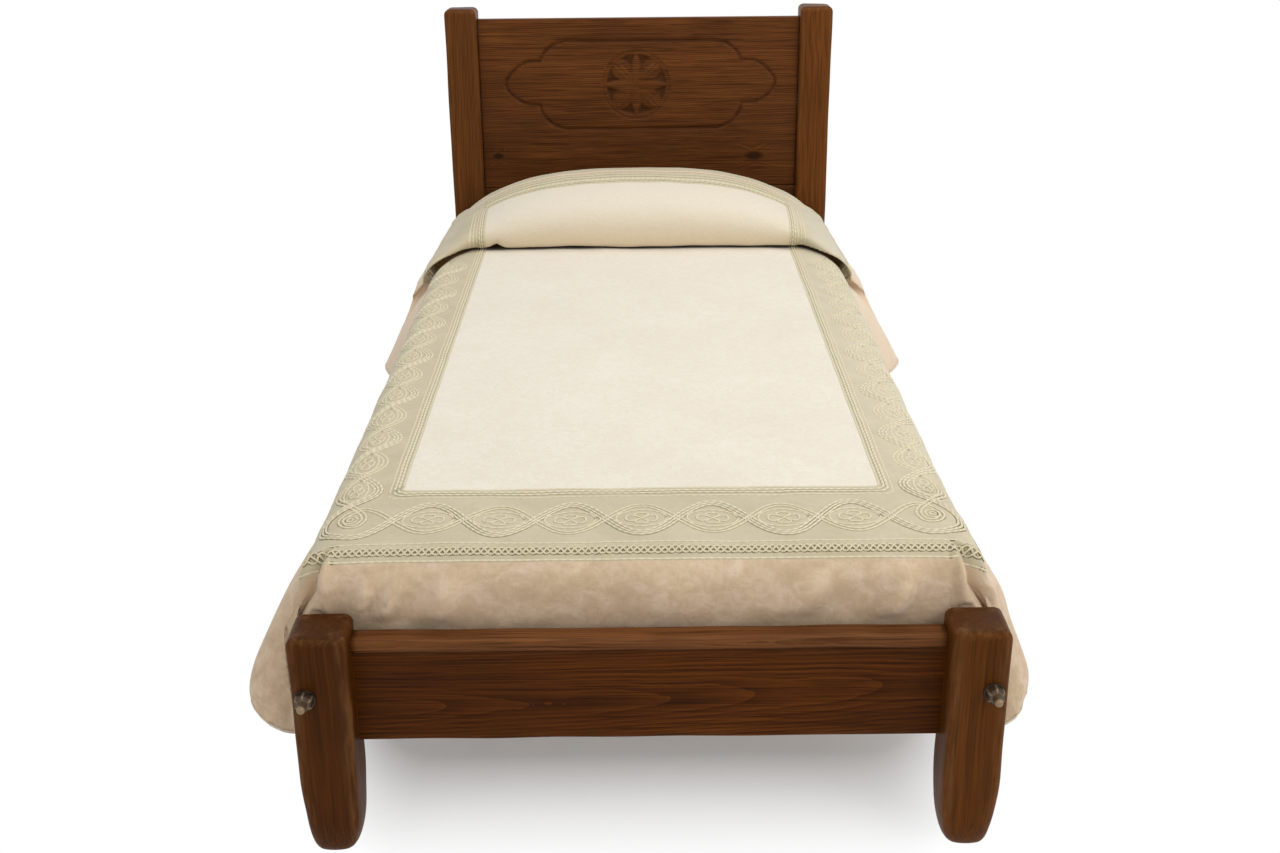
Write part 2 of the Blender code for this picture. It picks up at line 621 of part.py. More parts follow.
def spread_stations():
    """Places along the bed where the cloth is drawn, closest at the pillow's steep front and back."""
    flat = CREASE_Y - SPREAD_EDGE_Y
    stations = [SPREAD_EDGE_Y + flat * i / SPREAD_CELLS_FLAT for i in range(SPREAD_CELLS_FLAT)]
    for i in range(SPREAD_CELLS_PILLOW + 1):
        stations.append(PILLOW_Y - COVER_HALF_DEPTH * math.cos(math.pi * i / SPREAD_CELLS_PILLOW))
    return stations


def spread_hem(side, y):
    """How far out and how high the side hem hangs at a place along the bed."""
    corner = math.exp(-((y - SPREAD_EDGE_Y) / SPREAD_CORNER_REACH) ** 2)
    wing_y = CREASE_Y - SPREAD_WING_AHEAD
    reach = SPREAD_WING_REACH if y < wing_y else SPREAD_WING_REACH_BACK
    wing = math.exp(-((y - wing_y) / reach) ** 2)
    fold = math.cos(2 * math.pi * (y - SPREAD_EDGE_Y) / SPREAD_FOLD_LENGTH)
    flare = SPREAD_CORNER_FLARE_LEFT if side < 0 else SPREAD_CORNER_FLARE_RIGHT
    out = SPREAD_HANG + flare * corner + SPREAD_WING_FLARE * wing
    out += SPREAD_FOLD_DEPTH * fold * (1 - corner) * (1 - wing)
    low = SPREAD_HEM_Z + SPREAD_HEM_RISE * wing + SPREAD_CORNER_RISE / 2 * corner ** 4
    return SPREAD_SIDE_X + out, low


def hanging_column(start, direction, hem, power):
    """Points of one line of cloth from the mattress edge, round the edge and down to its hem."""
    points = []
    for step in range(1, SPREAD_ARC_STEPS + 1):
        angle = math.pi / 2 * step / SPREAD_ARC_STEPS
        out = direction * SPREAD_EDGE_RADIUS * math.sin(angle)
        points.append(start + out - UP * SPREAD_EDGE_RADIUS * (1 - math.cos(angle)))
    edge = points[-1]
    for step in range(1, SPREAD_HANG_STEPS + 1):
        share = step / SPREAD_HANG_STEPS
        point = edge.lerp(hem, share ** power)
        point.z = edge.z + (hem.z - edge.z) * share
        points.append(point)
    return points


def corner_columns(side, start):
    """The corner pleat: the skirt turns behind the post, climbs over the rail and joins the foot end."""
    flare_x = spread_hem(side, SPREAD_EDGE_Y)[0]
    over_rail = RAIL_TOP + SPREAD_RAIL_GAP
    outside = RAIL_OUTER_X + SPREAD_RAIL_GAP + SPREAD_THICKNESS
    inside = RAIL_INNER_X - SPREAD_EDGE_GAP
    turn_y = (SPREAD_EDGE_Y + SPREAD_FOOT_Y) / 2
    hems = [(flare_x, turn_y, SPREAD_HEM_Z + SPREAD_CORNER_RISE),
            ((flare_x + outside) / 2, SPREAD_FOOT_Y, SPREAD_HEM_Z + SPREAD_CORNER_RISE / 4),
            (outside + SPREAD_RAIL_GAP, SPREAD_FOOT_Y, SPREAD_HEM_Z),
            (outside + SPREAD_RAIL_GAP / 2, SPREAD_FOOT_Y, over_rail),
            (outside - SPREAD_RAIL_GAP / 3, SPREAD_FOOT_Y + SPREAD_RAIL_GAP, over_rail),
            (inside, SPREAD_FOOT_Y, over_rail)]
    columns = []
    for (x, y, z), degrees, power in zip(hems, PLEAT_TURNS, PLEAT_POWERS):
        turn = math.radians(degrees)
        direction = Vector((side * math.cos(turn), -math.sin(turn), 0))
        columns.append(hanging_column(start, direction, Vector((side * x, y, z)), power))
    return columns


def make_bedspread(cloth, parent):
    """One sheet: top over mattress and pillow, side skirts, pleated corners and a tucked foot end."""
    sheet = bmesh.new()
    xs = [SPREAD_EDGE_X * (2 * i / SPREAD_CELLS_ACROSS - 1) for i in range(SPREAD_CELLS_ACROSS + 1)]
    ys = spread_stations()
    top = [[sheet.verts.new((x, y, spread_height(x, y))) for y in ys] for x in xs]
    for left, right in zip(top, top[1:]):
        for j in range(len(ys) - 1):
            sheet.faces.new((left[j], right[j], right[j + 1], left[j + 1]))

    def side_columns(side, edge):
        hung = []
        for vertex in edge:
            start = vertex.co.copy()
            out, low = spread_hem(side, start.y)
            hem = Vector((side * out, start.y, low))
            points = hanging_column(start, Vector((side, 0, 0)), hem, SPREAD_HANG_POWER)
            hung.append((vertex, points))
        return hung

    def pleat(side, vertex):
        return [(vertex, points) for points in corner_columns(side, vertex.co.copy())]

    foot = []
    for column in top:
        start = column[0].co.copy()
        hem = Vector((start.x, SPREAD_FOOT_Y, SPREAD_TUCK_Z))
        foot.append((column[0], hanging_column(start, Vector((0, -1, 0)), hem, 1)))
    around = side_columns(-1, top[0])[::-1] + pleat(-1, top[0][0]) + foot
    around += pleat(1, top[-1][0])[::-1] + side_columns(1, top[-1])
    lines = [[vertex] + [sheet.verts.new(point) for point in points] for vertex, points in around]
    for first, second in zip(lines, lines[1:]):
        for k in range(len(first) - 1):
            corners = [first[k], first[k + 1], second[k + 1], second[k]]
            sheet.faces.new(list(dict.fromkeys(corners)))
    bedspread = make_object("bedspread", sheet, cloth, parent=parent)
    thick = bedspread.modifiers.new("cloth", "SOLIDIFY")
    thick.thickness = SPREAD_THICKNESS
    thick.offset = -1
    thick.use_even_offset = True


def main():
    clear_scene()
    post_pine = make_material("post_pine", DARK_PINE, 0.45)
    rail_pine = make_material("rail_pine", RAIL_PINE, 0.42)
    panel_pine = make_material("panel_pine", PANEL_PINE, 0.42)
    pale_pine = make_material("slat_pine", PALE_PINE, 0.70)
    iron = make_material("old_iron", OLD_IRON, 0.55, 0.8)
    bed_frame = make_empty("bed_frame", (0, 0, 0))
    posts = make_posts(post_pine, bed_frame)
    make_footboard(posts, rail_pine, bed_frame)
    make_headboard(posts, panel_pine, rail_pine, bed_frame)
    rails = make_side_rails(posts, rail_pine, bed_frame)
    make_bed_bolts(posts, rails, iron, bed_frame)
    ledgers = make_ledgers(rails, pale_pine, iron, bed_frame)
    make_slats(ledgers, pale_pine, bed_frame)
    mattress_seat = make_empty("mattress_seat", (0, MATTRESS_Y, MATTRESS_BASE))
    make_mattress(make_material("ticking", TICKING, 0.90), mattress_seat)
    pillow_seat = make_empty("pillow_seat", (0, PILLOW_Y, MATTRESS_TOP + SEAT_GAP))
    make_pillow(make_material("cotton", COTTON, 0.90), pillow_seat)
    spread_seat = make_empty("spread_seat", (0, 0, 0))
    make_bedspread(make_material("spread_cloth", SPREAD_CLOTH, 0.92), spread_seat)


main()
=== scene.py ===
"""Looks of a single bed: carved dark pine, aged iron, ticking, cotton and an embroidered bedspread.

Metres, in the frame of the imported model: +Z up, +Y towards the head, the floor at zero.
"""
import math

import bmesh
import bpy
import numpy as np
from mathutils import Matrix, Vector


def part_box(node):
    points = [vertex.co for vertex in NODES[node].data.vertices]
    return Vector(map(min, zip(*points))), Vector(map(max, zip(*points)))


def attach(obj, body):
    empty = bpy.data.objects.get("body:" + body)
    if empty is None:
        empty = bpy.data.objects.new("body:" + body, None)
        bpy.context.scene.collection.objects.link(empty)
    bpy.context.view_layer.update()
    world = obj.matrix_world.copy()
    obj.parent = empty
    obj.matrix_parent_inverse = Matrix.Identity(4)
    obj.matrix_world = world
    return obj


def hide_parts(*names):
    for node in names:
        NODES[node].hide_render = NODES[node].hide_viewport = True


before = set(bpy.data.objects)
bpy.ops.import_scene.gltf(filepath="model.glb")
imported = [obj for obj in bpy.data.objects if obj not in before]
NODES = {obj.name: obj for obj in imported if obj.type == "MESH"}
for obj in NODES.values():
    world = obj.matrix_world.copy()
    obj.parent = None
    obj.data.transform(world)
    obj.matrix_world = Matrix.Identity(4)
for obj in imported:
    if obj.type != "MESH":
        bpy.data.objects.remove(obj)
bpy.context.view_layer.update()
SIDES = {"left": -1, "right": 1}

# Camera fitted to the photograph
IMAGE_SIZE = (1280, 853)
FOCAL_PX = 1486.54
CAMERA_PLACE = (-0.0133, -2.8405, 1.3592)
CAMERA_PITCH = 21.932
CAMERA_YAW = 0.1121
CAMERA_ROLL = -0.5362

# Bedspread, outer face of the cloth
CLOTH_THICKNESS = 0.003
CLOTH_X = -0.0087
EDGE_X = 0.426
EDGE_Y = -0.963
EDGE_RADIUS = 0.052
SIDE_X = EDGE_X + EDGE_RADIUS
FOOT_Y = EDGE_Y - EDGE_RADIUS
TOP_Z = 0.4321
EDGE_DROP = 0.002
HEAD_Y = 0.992
CREASE_Y = 0.590
PILLOW_ARC = 0.60
HEAD_T = CREASE_Y + PILLOW_ARC
COVER_RISE = 0.139
COVER_HALF_WIDTH = 0.452
COVER_POWERS = (2.8, 0.80)
COVER_ROUND = 0.85
COVER_SLOPE = 0.75
COVER_SLOPE_REACH = 0.045
SLOT_DEPTH = 0.030
SLOT_GAP = 0.0065
OVERHANG = 0.034
EAR_AHEAD = 0.132
EAR_START = 0.380
EAR_WIDTH = 0.108
HEM_Z = 0.162
TUCK_Z = 0.252
HANG = 0.062
SKIRT_WAVE = 0.52
SKIRT_WAVE_DEPTH = 0.009
CORNER_FLARE = {"left": 0.034, "right": 0.022}
CORNER_BULGE = {"left": 0.001, "right": 0.007}
CORNER_REACH = 0.16
CORNER_RISE = 0.040
WING_Y = 0.482
WING_AHEAD = 0.11
WING_FLARE = {"left": 0.050, "right": 0.066}
WING_BACK = {"left": 0.42, "right": 0.36}
WING_BULGE = {"left": 0.014, "right": 0.012}
WING_RISE = 0.030
RAIL_TOP = 0.3105
RAIL_GAP = 0.013
RAIL_OUTER_X = 0.484
RAIL_INNER_X = 0.454
POST_BACK_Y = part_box("foot_post_left")[1][1]
# Part of the cloth that the foot posts hold back: across the bed, and up to a height
BEHIND_POST_X = (0.385, 0.496)
BEHIND_POST_Z = 0.356
# Slanting folds of the foot drop: place across the bed, width and height
FOOT_FOLDS = ((-0.345, 0.013, 0.028), (-0.385, 0.010, 0.018), (-0.27, 0.018, 0.016), (0.36, 0.015, 0.018),
              (0.24, 0.024, 0.012))

# Border of the bedspread, in flat cloth metres from the edge of the pale middle
CREAM_HALF = 0.359
CREAM_FOOT = -0.786
CREAM_HEAD = CREASE_Y + 0.272
BORDER_FOOT = 0.217
BORDER_SIDE = 0.147
BORDER_HEAD = 0.150
WAVE_LENGTH = 0.206
WAVE_MIDDLE = 0.108
WAVE_DEPTH = 0.050
WAVE_FOOT_END = 2 * WAVE_LENGTH
WAVE_SIDE_START = -0.888
WAVE_SIDE_END = WAVE_SIDE_START + 6.75 * WAVE_LENGTH
SIDE_SCALE = BORDER_SIDE / BORDER_FOOT
HEAD_SCALE = BORDER_HEAD / BORDER_FOOT

# Cords: half width, height and step between points
WAVE_ROPE = (0.0036, 0.0024, 0.005)
WAVE_LINE = (0.0034, 0.0018, 0.005)
BAND_ROPE = (0.0040, 0.0020, 0.005)
BAND_LINE = (0.0026, 0.0011, 0.006)
OUTER_LINE = (0.0028, 0.0011, 0.006)
EIGHT_LINE = (0.0030, 0.0017, 0.004)
OVAL_LINE = (0.0030, 0.0015, 0.005)
RING_LINE = (0.0030, 0.0017, 0.003)
PLAIT_STRAND = (0.0028, 0.0015, 0.003)
PILLOW_LINE = (0.0050, 0.0022, 0.006)
PILLOW_SIDE_LINE = (0.0034, 0.0016, 0.006)
HEM_CORD = (0.0028, 0.0016, 0.006)
HEAD_HEM_CORD = (0.0050, 0.0030, 0.006)


def srgb(red, green, blue):
    """Linear colour of an sRGB colour given from 0 to 255."""
    parts = []
    for value in (red, green, blue):
        share = value / 255
        parts.append(share / 12.92 if share <= 0.04045 else ((share + 0.055) / 1.055) ** 2.4)
    return (*parts, 1.0)


def ripple(points, seed, wavelength, waves=9):
    """Smooth irregular waviness from -1 to 1 or so, the same each run."""
    draw = np.random.default_rng(seed)
    total = np.zeros(len(points))
    for _ in range(waves):
        direction = draw.normal(size=points.shape[1])
        direction /= np.linalg.norm(direction)
        stretch = draw.uniform(0.6, 1.6)
        total += np.sin(points @ direction * (2 * np.pi * stretch / wavelength) + draw.uniform(0, 2 * np.pi))
    return total / math.sqrt(waves)


def smooth_step(value):
    """0 below 0 and 1 above 1, with a smooth rise between."""
    value = np.clip(value, 0, 1)
    return value * value * (3 - 2 * value)


def rising(value, start, width):
    """A smooth rise from 0 at start to 1 a width farther on."""
    return smooth_step((value - start) / width)


def fading(value, start, width):
    """A smooth fall from 1 at start to 0 a width farther on."""
    return 1 - smooth_step((value - start) / width)


def hump(value, middle, width):
    """A bell shape, 1 at the middle."""
    return np.exp(-((value - middle) / width) ** 2)


def by_side(side, pair):
    """The left or the right one of two numbers, for each place."""
    return np.where(side < 0, pair["left"], pair["right"])


def box(node):
    """Lowest and highest corner of a CAD node."""
    return (np.array(corner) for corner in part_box(node))


def dress(piece, body, node=None):
    """Puts a piece on a body, in the place of a CAD node or as an addition."""
    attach(piece, body)
    if node:
        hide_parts(node)
    return piece


def new_object(name, points, faces, material, uv=None, values=None, closed=True):
    """A smooth mesh object from arrays, with a flat place and named values at each point."""
    mesh = bpy.data.meshes.new(name)
    mesh.from_pydata(np.asarray(points).tolist(), [], [list(face) for face in faces])
    mesh.validate()
    if closed:
        shell = bmesh.new()
        shell.from_mesh(mesh)
        bmesh.ops.recalc_face_normals(shell, faces=shell.faces)
        shell.to_mesh(mesh)
        shell.free()
    mesh.shade_smooth()
    if uv is not None:
        corner = np.zeros(len(mesh.loops), int)
        mesh.loops.foreach_get("vertex_index", corner)
        layer = mesh.uv_layers.new(name="flat")
        layer.data.foreach_set("uv", np.asarray(uv, np.float32)[corner].ravel())
    for key, numbers in (values or {}).items():
        layer = mesh.attributes.new(key, "FLOAT", "POINT")
        layer.data.foreach_set("value", np.asarray(numbers, np.float32))
    piece = bpy.data.objects.new(name, mesh)
    bpy.context.scene.collection.objects.link(piece)
    mesh.materials.append(material)
    return piece


class Tree:
    """A material's or world's nodes, made and joined in one call each."""

    def __init__(self, name, owner=None, shader="Principled BSDF"):
        self.owner = owner or bpy.data.materials.new(name)
        self.owner.use_nodes = True
        self.nodes, self.links = self.owner.node_tree.nodes, self.owner.node_tree.links
        self.shader = self.nodes[shader]

    def add(self, kind, inputs=(), **settings):
        """Makes a node and returns its outputs."""
        made = self.nodes.new("ShaderNode" + kind)
        for key, value in settings.items():
            setattr(made, key, value)
        for key, value in dict(inputs).items():
            self.put(made.inputs[key], value)
        return made.outputs

    def put(self, socket, value):
        if isinstance(value, bpy.types.NodeSocket):
            self.links.new(value, socket)
        else:
            socket.default_value = value

    def math(self, operation, first, second=0.0, clamp=False):
        return self.add("Math", {0: first, 1: second}, operation=operation, use_clamp=clamp)[0]

    def plus(self, first, second):
        return self.math("ADD", first, second)

    def minus(self, first, second):
        return self.math("SUBTRACT", first, second)

    def times(self, first, second, clamp=False):
        return self.math("MULTIPLY", first, second, clamp)

    def most(self, first, second):
        return self.math("MAXIMUM", first, second)

    def size(self, value):
        return self.math("ABSOLUTE", value)

    def vector(self, operation, first, second=(0, 0, 0)):
        return self.add("VectorMath", {0: first, 1: second}, operation=operation)[0]

    def length(self, vector):
        return self.add("VectorMath", {0: vector}, operation="LENGTH")["Value"]

    def mix(self, share, first, second):
        return self.add("Mix", {0: share, 6: first, 7: second}, data_type="RGBA")[2]

    def over(self, colour, *layers):
        """A colour under others, each given with its share."""
        for share, layer in layers:
            colour = self.mix(share, colour, layer)
        return colour

    def noise(self, vector, scale, detail=3.0, roughness=0.55, distortion=0.0):
        return self.add("TexNoise", {"Vector": vector, "Scale": scale, "Detail": detail, "Roughness": roughness,
                                     "Distortion": distortion})["Fac"]

    def grain(self, vector, scale, place=(0, 0, 0), detail=3.0, roughness=0.55, distortion=0.0):
        """Noise with its own scale along each axis."""
        return self.noise(self.stretch(vector, scale, place), 1.0, detail, roughness, distortion)

    def ramp(self, value, low, high, start=0.0, end=1.0, shape="LINEAR"):
        return self.add("MapRange", {"Value": value, "From Min": low, "From Max": high, "To Min": start,
                                     "To Max": end}, interpolation_type=shape)[0]

    def stretch(self, vector, scale, place=(0, 0, 0), turn=(0, 0, 0)):
        return self.add("Mapping", {"Vector": vector, "Location": place, "Rotation": turn, "Scale": scale})[0]

    def split(self, vector):
        return self.add("SeparateXYZ", {0: vector})

    def place(self):
        return self.add("TexCoord")["Object"]

    def flat(self):
        return self.add("UVMap", uv_map="flat")[0]

    def value(self, name):
        """A value that new_object stored at each point."""
        return self.add("Attribute", attribute_name=name)["Fac"]

    def seen(self):
        """1 for what the camera sees, also in gloss or through something, and 0 for light bounced by matt surfaces."""
        ways = self.add("LightPath")
        return self.most(ways["Is Camera Ray"], self.most(ways["Is Glossy Ray"], ways["Is Transmission Ray"]))

    def surface(self, colour, roughness, height=None, depth=0.001, strength=1.0, settings=()):
        """Sets the shader, with a bump where a height is given, and returns the material."""
        sockets = self.shader.inputs
        for key, value in {"Base Color": colour, "Roughness": roughness, **dict(settings)}.items():
            self.put(sockets[key], value)
        if height is not None:
            bump = self.add("Bump", {"Height": height, "Distance": depth, "Strength": strength})
            self.put(sockets["Normal"], bump[0])
        return self.owner


def shade(colour, share):
    """A colour made darker or lighter by a factor."""
    return (*(share * part for part in colour[:3]), 1.0)


# Scale of Blender's wave texture times the distance between two of its rings, in metres
WAVE_NODE_PERIOD = 0.314


def wood(name, grain, dark, light, worn, seed, ring=0.0045, pith=(0.05, 0.04), knots=(), gloss=0.42, shine=0.06,
         figure=0.30, contrast=1.0, sway=0.032, swirl=1.6, fine=1.0, flame=1.1):
    """Stained pine: growth rings round a pith behind the face, fibres, blotches of stain and worn arrises."""
    tree = Tree(name)
    parts = tree.split(tree.place())
    order = {"X": "YZX", "Y": "XZY", "Z": "XYZ"}[grain]
    along = tree.add("CombineXYZ", {i: parts[axis] for i, axis in enumerate(order)})[0]
    wander = tree.add("TexNoise", {"Vector": tree.stretch(along, (5, 5, flame), (seed, 0, 0)), "Scale": 1.0,
                                   "Detail": 2.0})["Color"]
    shift = tree.vector("MULTIPLY", tree.vector("SUBTRACT", wander, (0.5, 0.5, 0.5)), (sway, sway, 0.0))
    bent = tree.vector("ADD", along, shift)
    for knot in knots:
        bent = push_round_knot(tree, bent, knot, order)
    turned = tree.stretch(bent, (1, 1, 1), (*pith, 0), (0.035, -0.025, 0))
    rings = tree.add("TexWave", {"Vector": turned, "Scale": WAVE_NODE_PERIOD / ring, "Distortion": swirl,
                                 "Detail": 2.0, "Detail Scale": 0.6},
                     wave_type="RINGS", rings_direction="Z", wave_profile="SAW")["Fac"]
    fibre = tree.grain(along, (150 * fine, 150 * fine, 3.0), detail=4.0, roughness=0.6)
    streak = tree.grain(along, (420, 420, 7.0), (0, seed, 0), 2.0, 0.5)
    blotch = tree.grain(along, (7, 7, 2.2), (seed, seed, 0))
    gleam = tree.grain(along, (300, 300, 4.0), (seed, 0, seed), 2.0, 0.5)
    rubbed = tree.grain(along, (110, 110, 14), (0, 0, seed), 4.0, 0.65)
    tone = tree.plus(tree.times(rings, figure), tree.times(fibre, 1.12 - figure))
    tone = tree.ramp(tone, 0.55 - 0.30 / contrast, 0.55 + 0.30 / contrast)
    share = tree.times(tree.value("wear"), tree.ramp(rubbed, 0.42, 0.74, 0.05, 0.42), clamp=True)
    colour = tree.over(tree.mix(tone, dark, light),
                       (tree.ramp(streak, 0.53, 0.68, 0.0, 0.62 * contrast), shade(dark, 0.35)),
                       (tree.ramp(gleam, 0.58, 0.72, 0.0, 0.45), shade(light, 1.25)),
                       (tree.ramp(blotch, 0.35, 0.70, 0.0, 0.50), shade(dark, 0.55)),
                       *((knot_share(tree, along, knot, order), shade(dark, 0.30)) for knot in knots),
                       # darker by a value stored at each point: painted shade under the foot rail's cap, dirt and stain
                       # with painted shade in the carved cuts, dirt on the post tops
                       (tree.ramp(tree.value("shade_and_dirt"), 0.15, 1.0, 0.0, 0.68), shade(dark, 0.28)),
                       (share, worn))
    roughness = tree.plus(tree.ramp(fibre, 0.3, 0.7, gloss - 0.06, gloss + 0.10), tree.times(share, 0.15))
    height = tree.plus(tree.times(rings, 0.35), tree.times(fibre, 0.65))
    return tree.surface(colour, roughness, height, 0.0007, 0.6, {"Specular IOR Level": shine})


def knot_distance(tree, along, knot, order):
    """Distance from a knot on the board's face, shorter across the grain, and the way there."""
    centre = [knot[0]["XYZ".index(axis)] for axis in order]
    away = tree.vector("MULTIPLY", tree.vector("SUBTRACT", along, centre), (1.5, 1.5, 0.75))
    return tree.length(away), away


def push_round_knot(tree, vector, knot, order):
    """The grain swerves round a knot."""
    distance, away = knot_distance(tree, vector, knot, order)
    near = tree.ramp(distance, knot[1] * 3.0, 0.0, 0.0, 0.030)
    aside = tree.add("VectorMath", {0: tree.vector("NORMALIZE", away), "Scale": near}, operation="SCALE")[0]
    return tree.vector("ADD", vector, aside)


def knot_share(tree, along, knot, order):
    """How much of a knot's dark colour shows at a place."""
    distance, _ = knot_distance(tree, along, knot, order)
    return tree.ramp(distance, knot[1] * 1.1, knot[1] * 0.55, 0.0, 0.8)


def iron():
    """Old iron with a brown patina and brighter rubbed edges; the brightest, the bolt ends, are also painted highlight.
    """
    tree = Tree("aged_iron")
    place = tree.place()
    blotch, pits = tree.noise(place, 90.0, 4.0, 0.6), tree.noise(place, 420.0)
    colour = tree.mix(tree.ramp(blotch, 0.35, 0.65), srgb(36, 25, 16), srgb(78, 58, 40))
    colour = tree.mix(tree.times(tree.value("wear"), 0.7), colour, srgb(158, 132, 98))
    return tree.surface(colour, tree.ramp(pits, 0.3, 0.7, 0.38, 0.62), pits, 0.0006, 0.7, {"Metallic": 0.35})


# Distance from a corner over which an arris is worn
CORNER_WEAR = 0.010


def rounded_outline(width, height, radius, corner_steps, cells):
    """Points round a rectangle with round corners, and how near each is to a corner, from 0 to 1.

    cells is the number along the longest side, or a pair for the top and bottom and for the two sides.
    """
    points, near = [], []
    corners = ((1, 1), (-1, 1), (-1, -1), (1, -1))

    def on_corner(quarter, turn):
        right, up = corners[quarter % 4]
        angle = math.pi / 2 * turn
        return np.array([right * (width / 2 - radius) + radius * math.cos(angle),
                         up * (height / 2 - radius) + radius * math.sin(angle)])

    for quarter in range(4):
        for step in range(corner_steps + 1):
            points.append(on_corner(quarter, quarter + step / corner_steps))
            near.append(1.0)
        start, end = points[-1], on_corner(quarter + 1, quarter + 1)
        length = np.linalg.norm(end - start)
        if isinstance(cells, tuple):
            count = cells[quarter % 2]
        else:
            count = max(1, round(cells * length / max(width, height)))
        for cell in range(1, count):
            points.append(start + (end - start) * cell / count)
            near.append(max(0.0, 1 - min(cell, count - cell) / count * length / CORNER_WEAR))
    return np.array(points), np.array(near)


def loft(rings):
    """Points and faces of a closed body through rings of equal length."""
    count = len(rings[0])
    points = np.concatenate(rings)
    faces = [list(range(count))[::-1], list(range(len(points) - count, len(points)))]
    for low in range(0, len(points) - count, count):
        for i in range(count):
            j = (i + 1) % count
            faces.append((low + i, low + j, low + count + j, low + count + i))
    return points, faces


def grid_faces(columns, rows):
    """Faces between points numbered column by column."""
    return [(a, a + rows, a + rows + 1, a + 1) for i in range(columns - 1)
            for a in range(i * rows, (i + 1) * rows - 1)]


def joined(parts):
    """Several meshes as one: their points and faces."""
    points, faces = [], []
    for more, rings in parts:
        faces += [[i + len(points) for i in face] for face in rings]
        points += more.tolist()
    return points, faces


def hand_worked(points, seed, depth):
    """Slight unevenness of a hand-planed surface."""
    return points + np.stack([ripple(points, seed + i, 0.16) for i in range(3)], 1) * depth


BOARD_EDGE = 0.003
BOARD_END = 0.0025


def board(name, node, cells, step, material, painted_shade_band=0.0):
    """A board along X that fills a node's place, with eased arrises and, where a band is given, painted shade under its
    upper edge.
    """
    low, high = box(node)
    middle, size = (low + high) / 2, high - low
    outline, near = rounded_outline(size[1], size[2], BOARD_EDGE, 4, cells)
    ease = [(BOARD_END * (1 - math.sin(a)), BOARD_END * (1 - math.cos(a))) for a in np.linspace(0, math.pi / 2, 4)]
    length = size[0] - 2 * BOARD_END
    count = max(2, int(length / step))
    stations = [(low[0] + back, inset) for inset, back in ease]
    stations += [(low[0] + BOARD_END + length * i / count, 0.0) for i in range(1, count)]
    stations += [(high[0] - back, inset) for inset, back in ease[::-1]]
    rings = [np.column_stack([np.full(len(outline), x), middle[1:] + outline * (1 - 2 * inset / size[1:])])
             for x, inset in stations]
    points, faces = loft(rings)
    values = {"wear": np.tile(near, len(rings))}
    if painted_shade_band:
        # painted shade in a band below the top edge, where the cap's nose overhangs
        values["shade_and_dirt"] = smooth_step((points[:, 2] - high[2] + painted_shade_band) / painted_shade_band)
    points = hand_worked(points, len(name), 0.0006)
    dress(new_object(name, points, faces, material, values=values), "bed_frame", node)


POST_SIDE = 0.080
POST_X = 0.450
POST_EDGE = 0.008
POST_TOP_RADIUS = 0.014
TOE_INSET = 0.019
TOE_HEIGHT = 0.060
TOE_LEAN = 0.004
TOE_ROUND = 0.20
TOE_ROUND_HEIGHT = 0.13
POST_TOP_DIRT = 0.55


def post(name, side, material):
    """A square post with worn arrises and top and a rounded toe that leans outwards; the foot posts' lighter arrises
    are also painted highlight.
    """
    low, high = box(name)
    y, height = (low[1] + high[1]) / 2, high[2]
    stages = []
    for angle in np.linspace(0, math.pi / 2, 11):
        share = 1 - math.sin(angle)
        stages.append((TOE_INSET * share, side * TOE_LEAN * share, TOE_HEIGHT * (1 - math.cos(angle)), share))
    shaft = height - TOE_HEIGHT - POST_TOP_RADIUS
    cells = int(shaft / 0.015)
    stages += [(0, 0, TOE_HEIGHT + shaft * cell / cells, 0) for cell in range(1, cells)]
    for angle in np.linspace(0, math.pi / 2, 9):
        below = POST_TOP_RADIUS * (1 - math.sin(angle))
        stages.append((POST_TOP_RADIUS * (1 - math.cos(angle)), 0, height - below, 0.6 * math.sin(2 * angle)))
    stages += [(inset, 0, height - 0.0002 * (0.036 - inset) / 0.036, 0.15) for inset in (0.022, 0.030, 0.036)]
    outline, near = rounded_outline(POST_SIDE, POST_SIDE, POST_EDGE, 5, 10)
    cornered = (outline[:, 0] * outline[:, 1] / (POST_SIDE / 2) ** 2) ** 2
    rings, wear, shade_and_dirt = [], [], []
    for inset, lean, z, worn in stages:
        keep = (1 - 2 * inset / POST_SIDE) * (1 - TOE_ROUND * smooth_step(1 - z / TOE_ROUND_HEIGHT) * cornered)
        rings.append(np.column_stack([side * POST_X + lean + outline[:, 0] * keep, y + outline[:, 1] * keep,
                                      np.full(len(outline), z)]))
        wear.append(np.maximum(near if inset < 0.018 else 0 * near, worn))
        shade_and_dirt.append(np.full(len(outline), POST_TOP_DIRT if z > height - 0.003 else 0.0))
    points, faces = loft(rings)
    moved = hand_worked(points, 7 + int(side) + int(height * 10), 0.0007)
    still = rising(points[:, 2], 0.004, 0.03)[:, None]
    values = {"wear": np.concatenate(wear), "shade_and_dirt": np.concatenate(shade_and_dirt)}
    piece = new_object(name + "_worn", points + (moved - points) * still, faces, material, values=values)
    dress(piece, "bed_frame", name)


def cap_board(material):
    """The nosed cap on the foot rail, worn along its front."""
    low, high = box("foot_rail_cap")
    middle, (_, depth, height) = (low + high) / 2, high - low
    outline, _ = rounded_outline(depth, height, height * 0.44, 7, 12)
    points, faces = loft([np.column_stack([np.full(len(outline), x), middle[1:] + outline])
                          for x in np.linspace(low[0], high[0], 90)])
    facing = np.clip((middle[1] - points[:, 1]) / (depth / 2), 0, 1)
    worn = rising(facing, 0.3, 0.6) * smooth_step((points[:, 2] - low[2]) / height * 1.2)
    piece = new_object("foot_cap_nosed", hand_worked(points, 3, 0.0005), faces, material, values={"wear": worn * 0.25})
    dress(piece, "bed_frame", "foot_rail_cap")


def distance_to_line(x, z, path):
    """Distance from places to an open chain of points."""
    best = np.full(x.shape, 9.0)
    for (ax, az), (bx, bz) in zip(path, path[1:]):
        length = max((bx - ax) ** 2 + (bz - az) ** 2, 1e-12)
        share = np.clip(((x - ax) * (bx - ax) + (z - az) * (bz - az)) / length, 0, 1)
        best = np.minimum(best, np.hypot(x - ax - share * (bx - ax), z - az - share * (bz - az)))
    return best


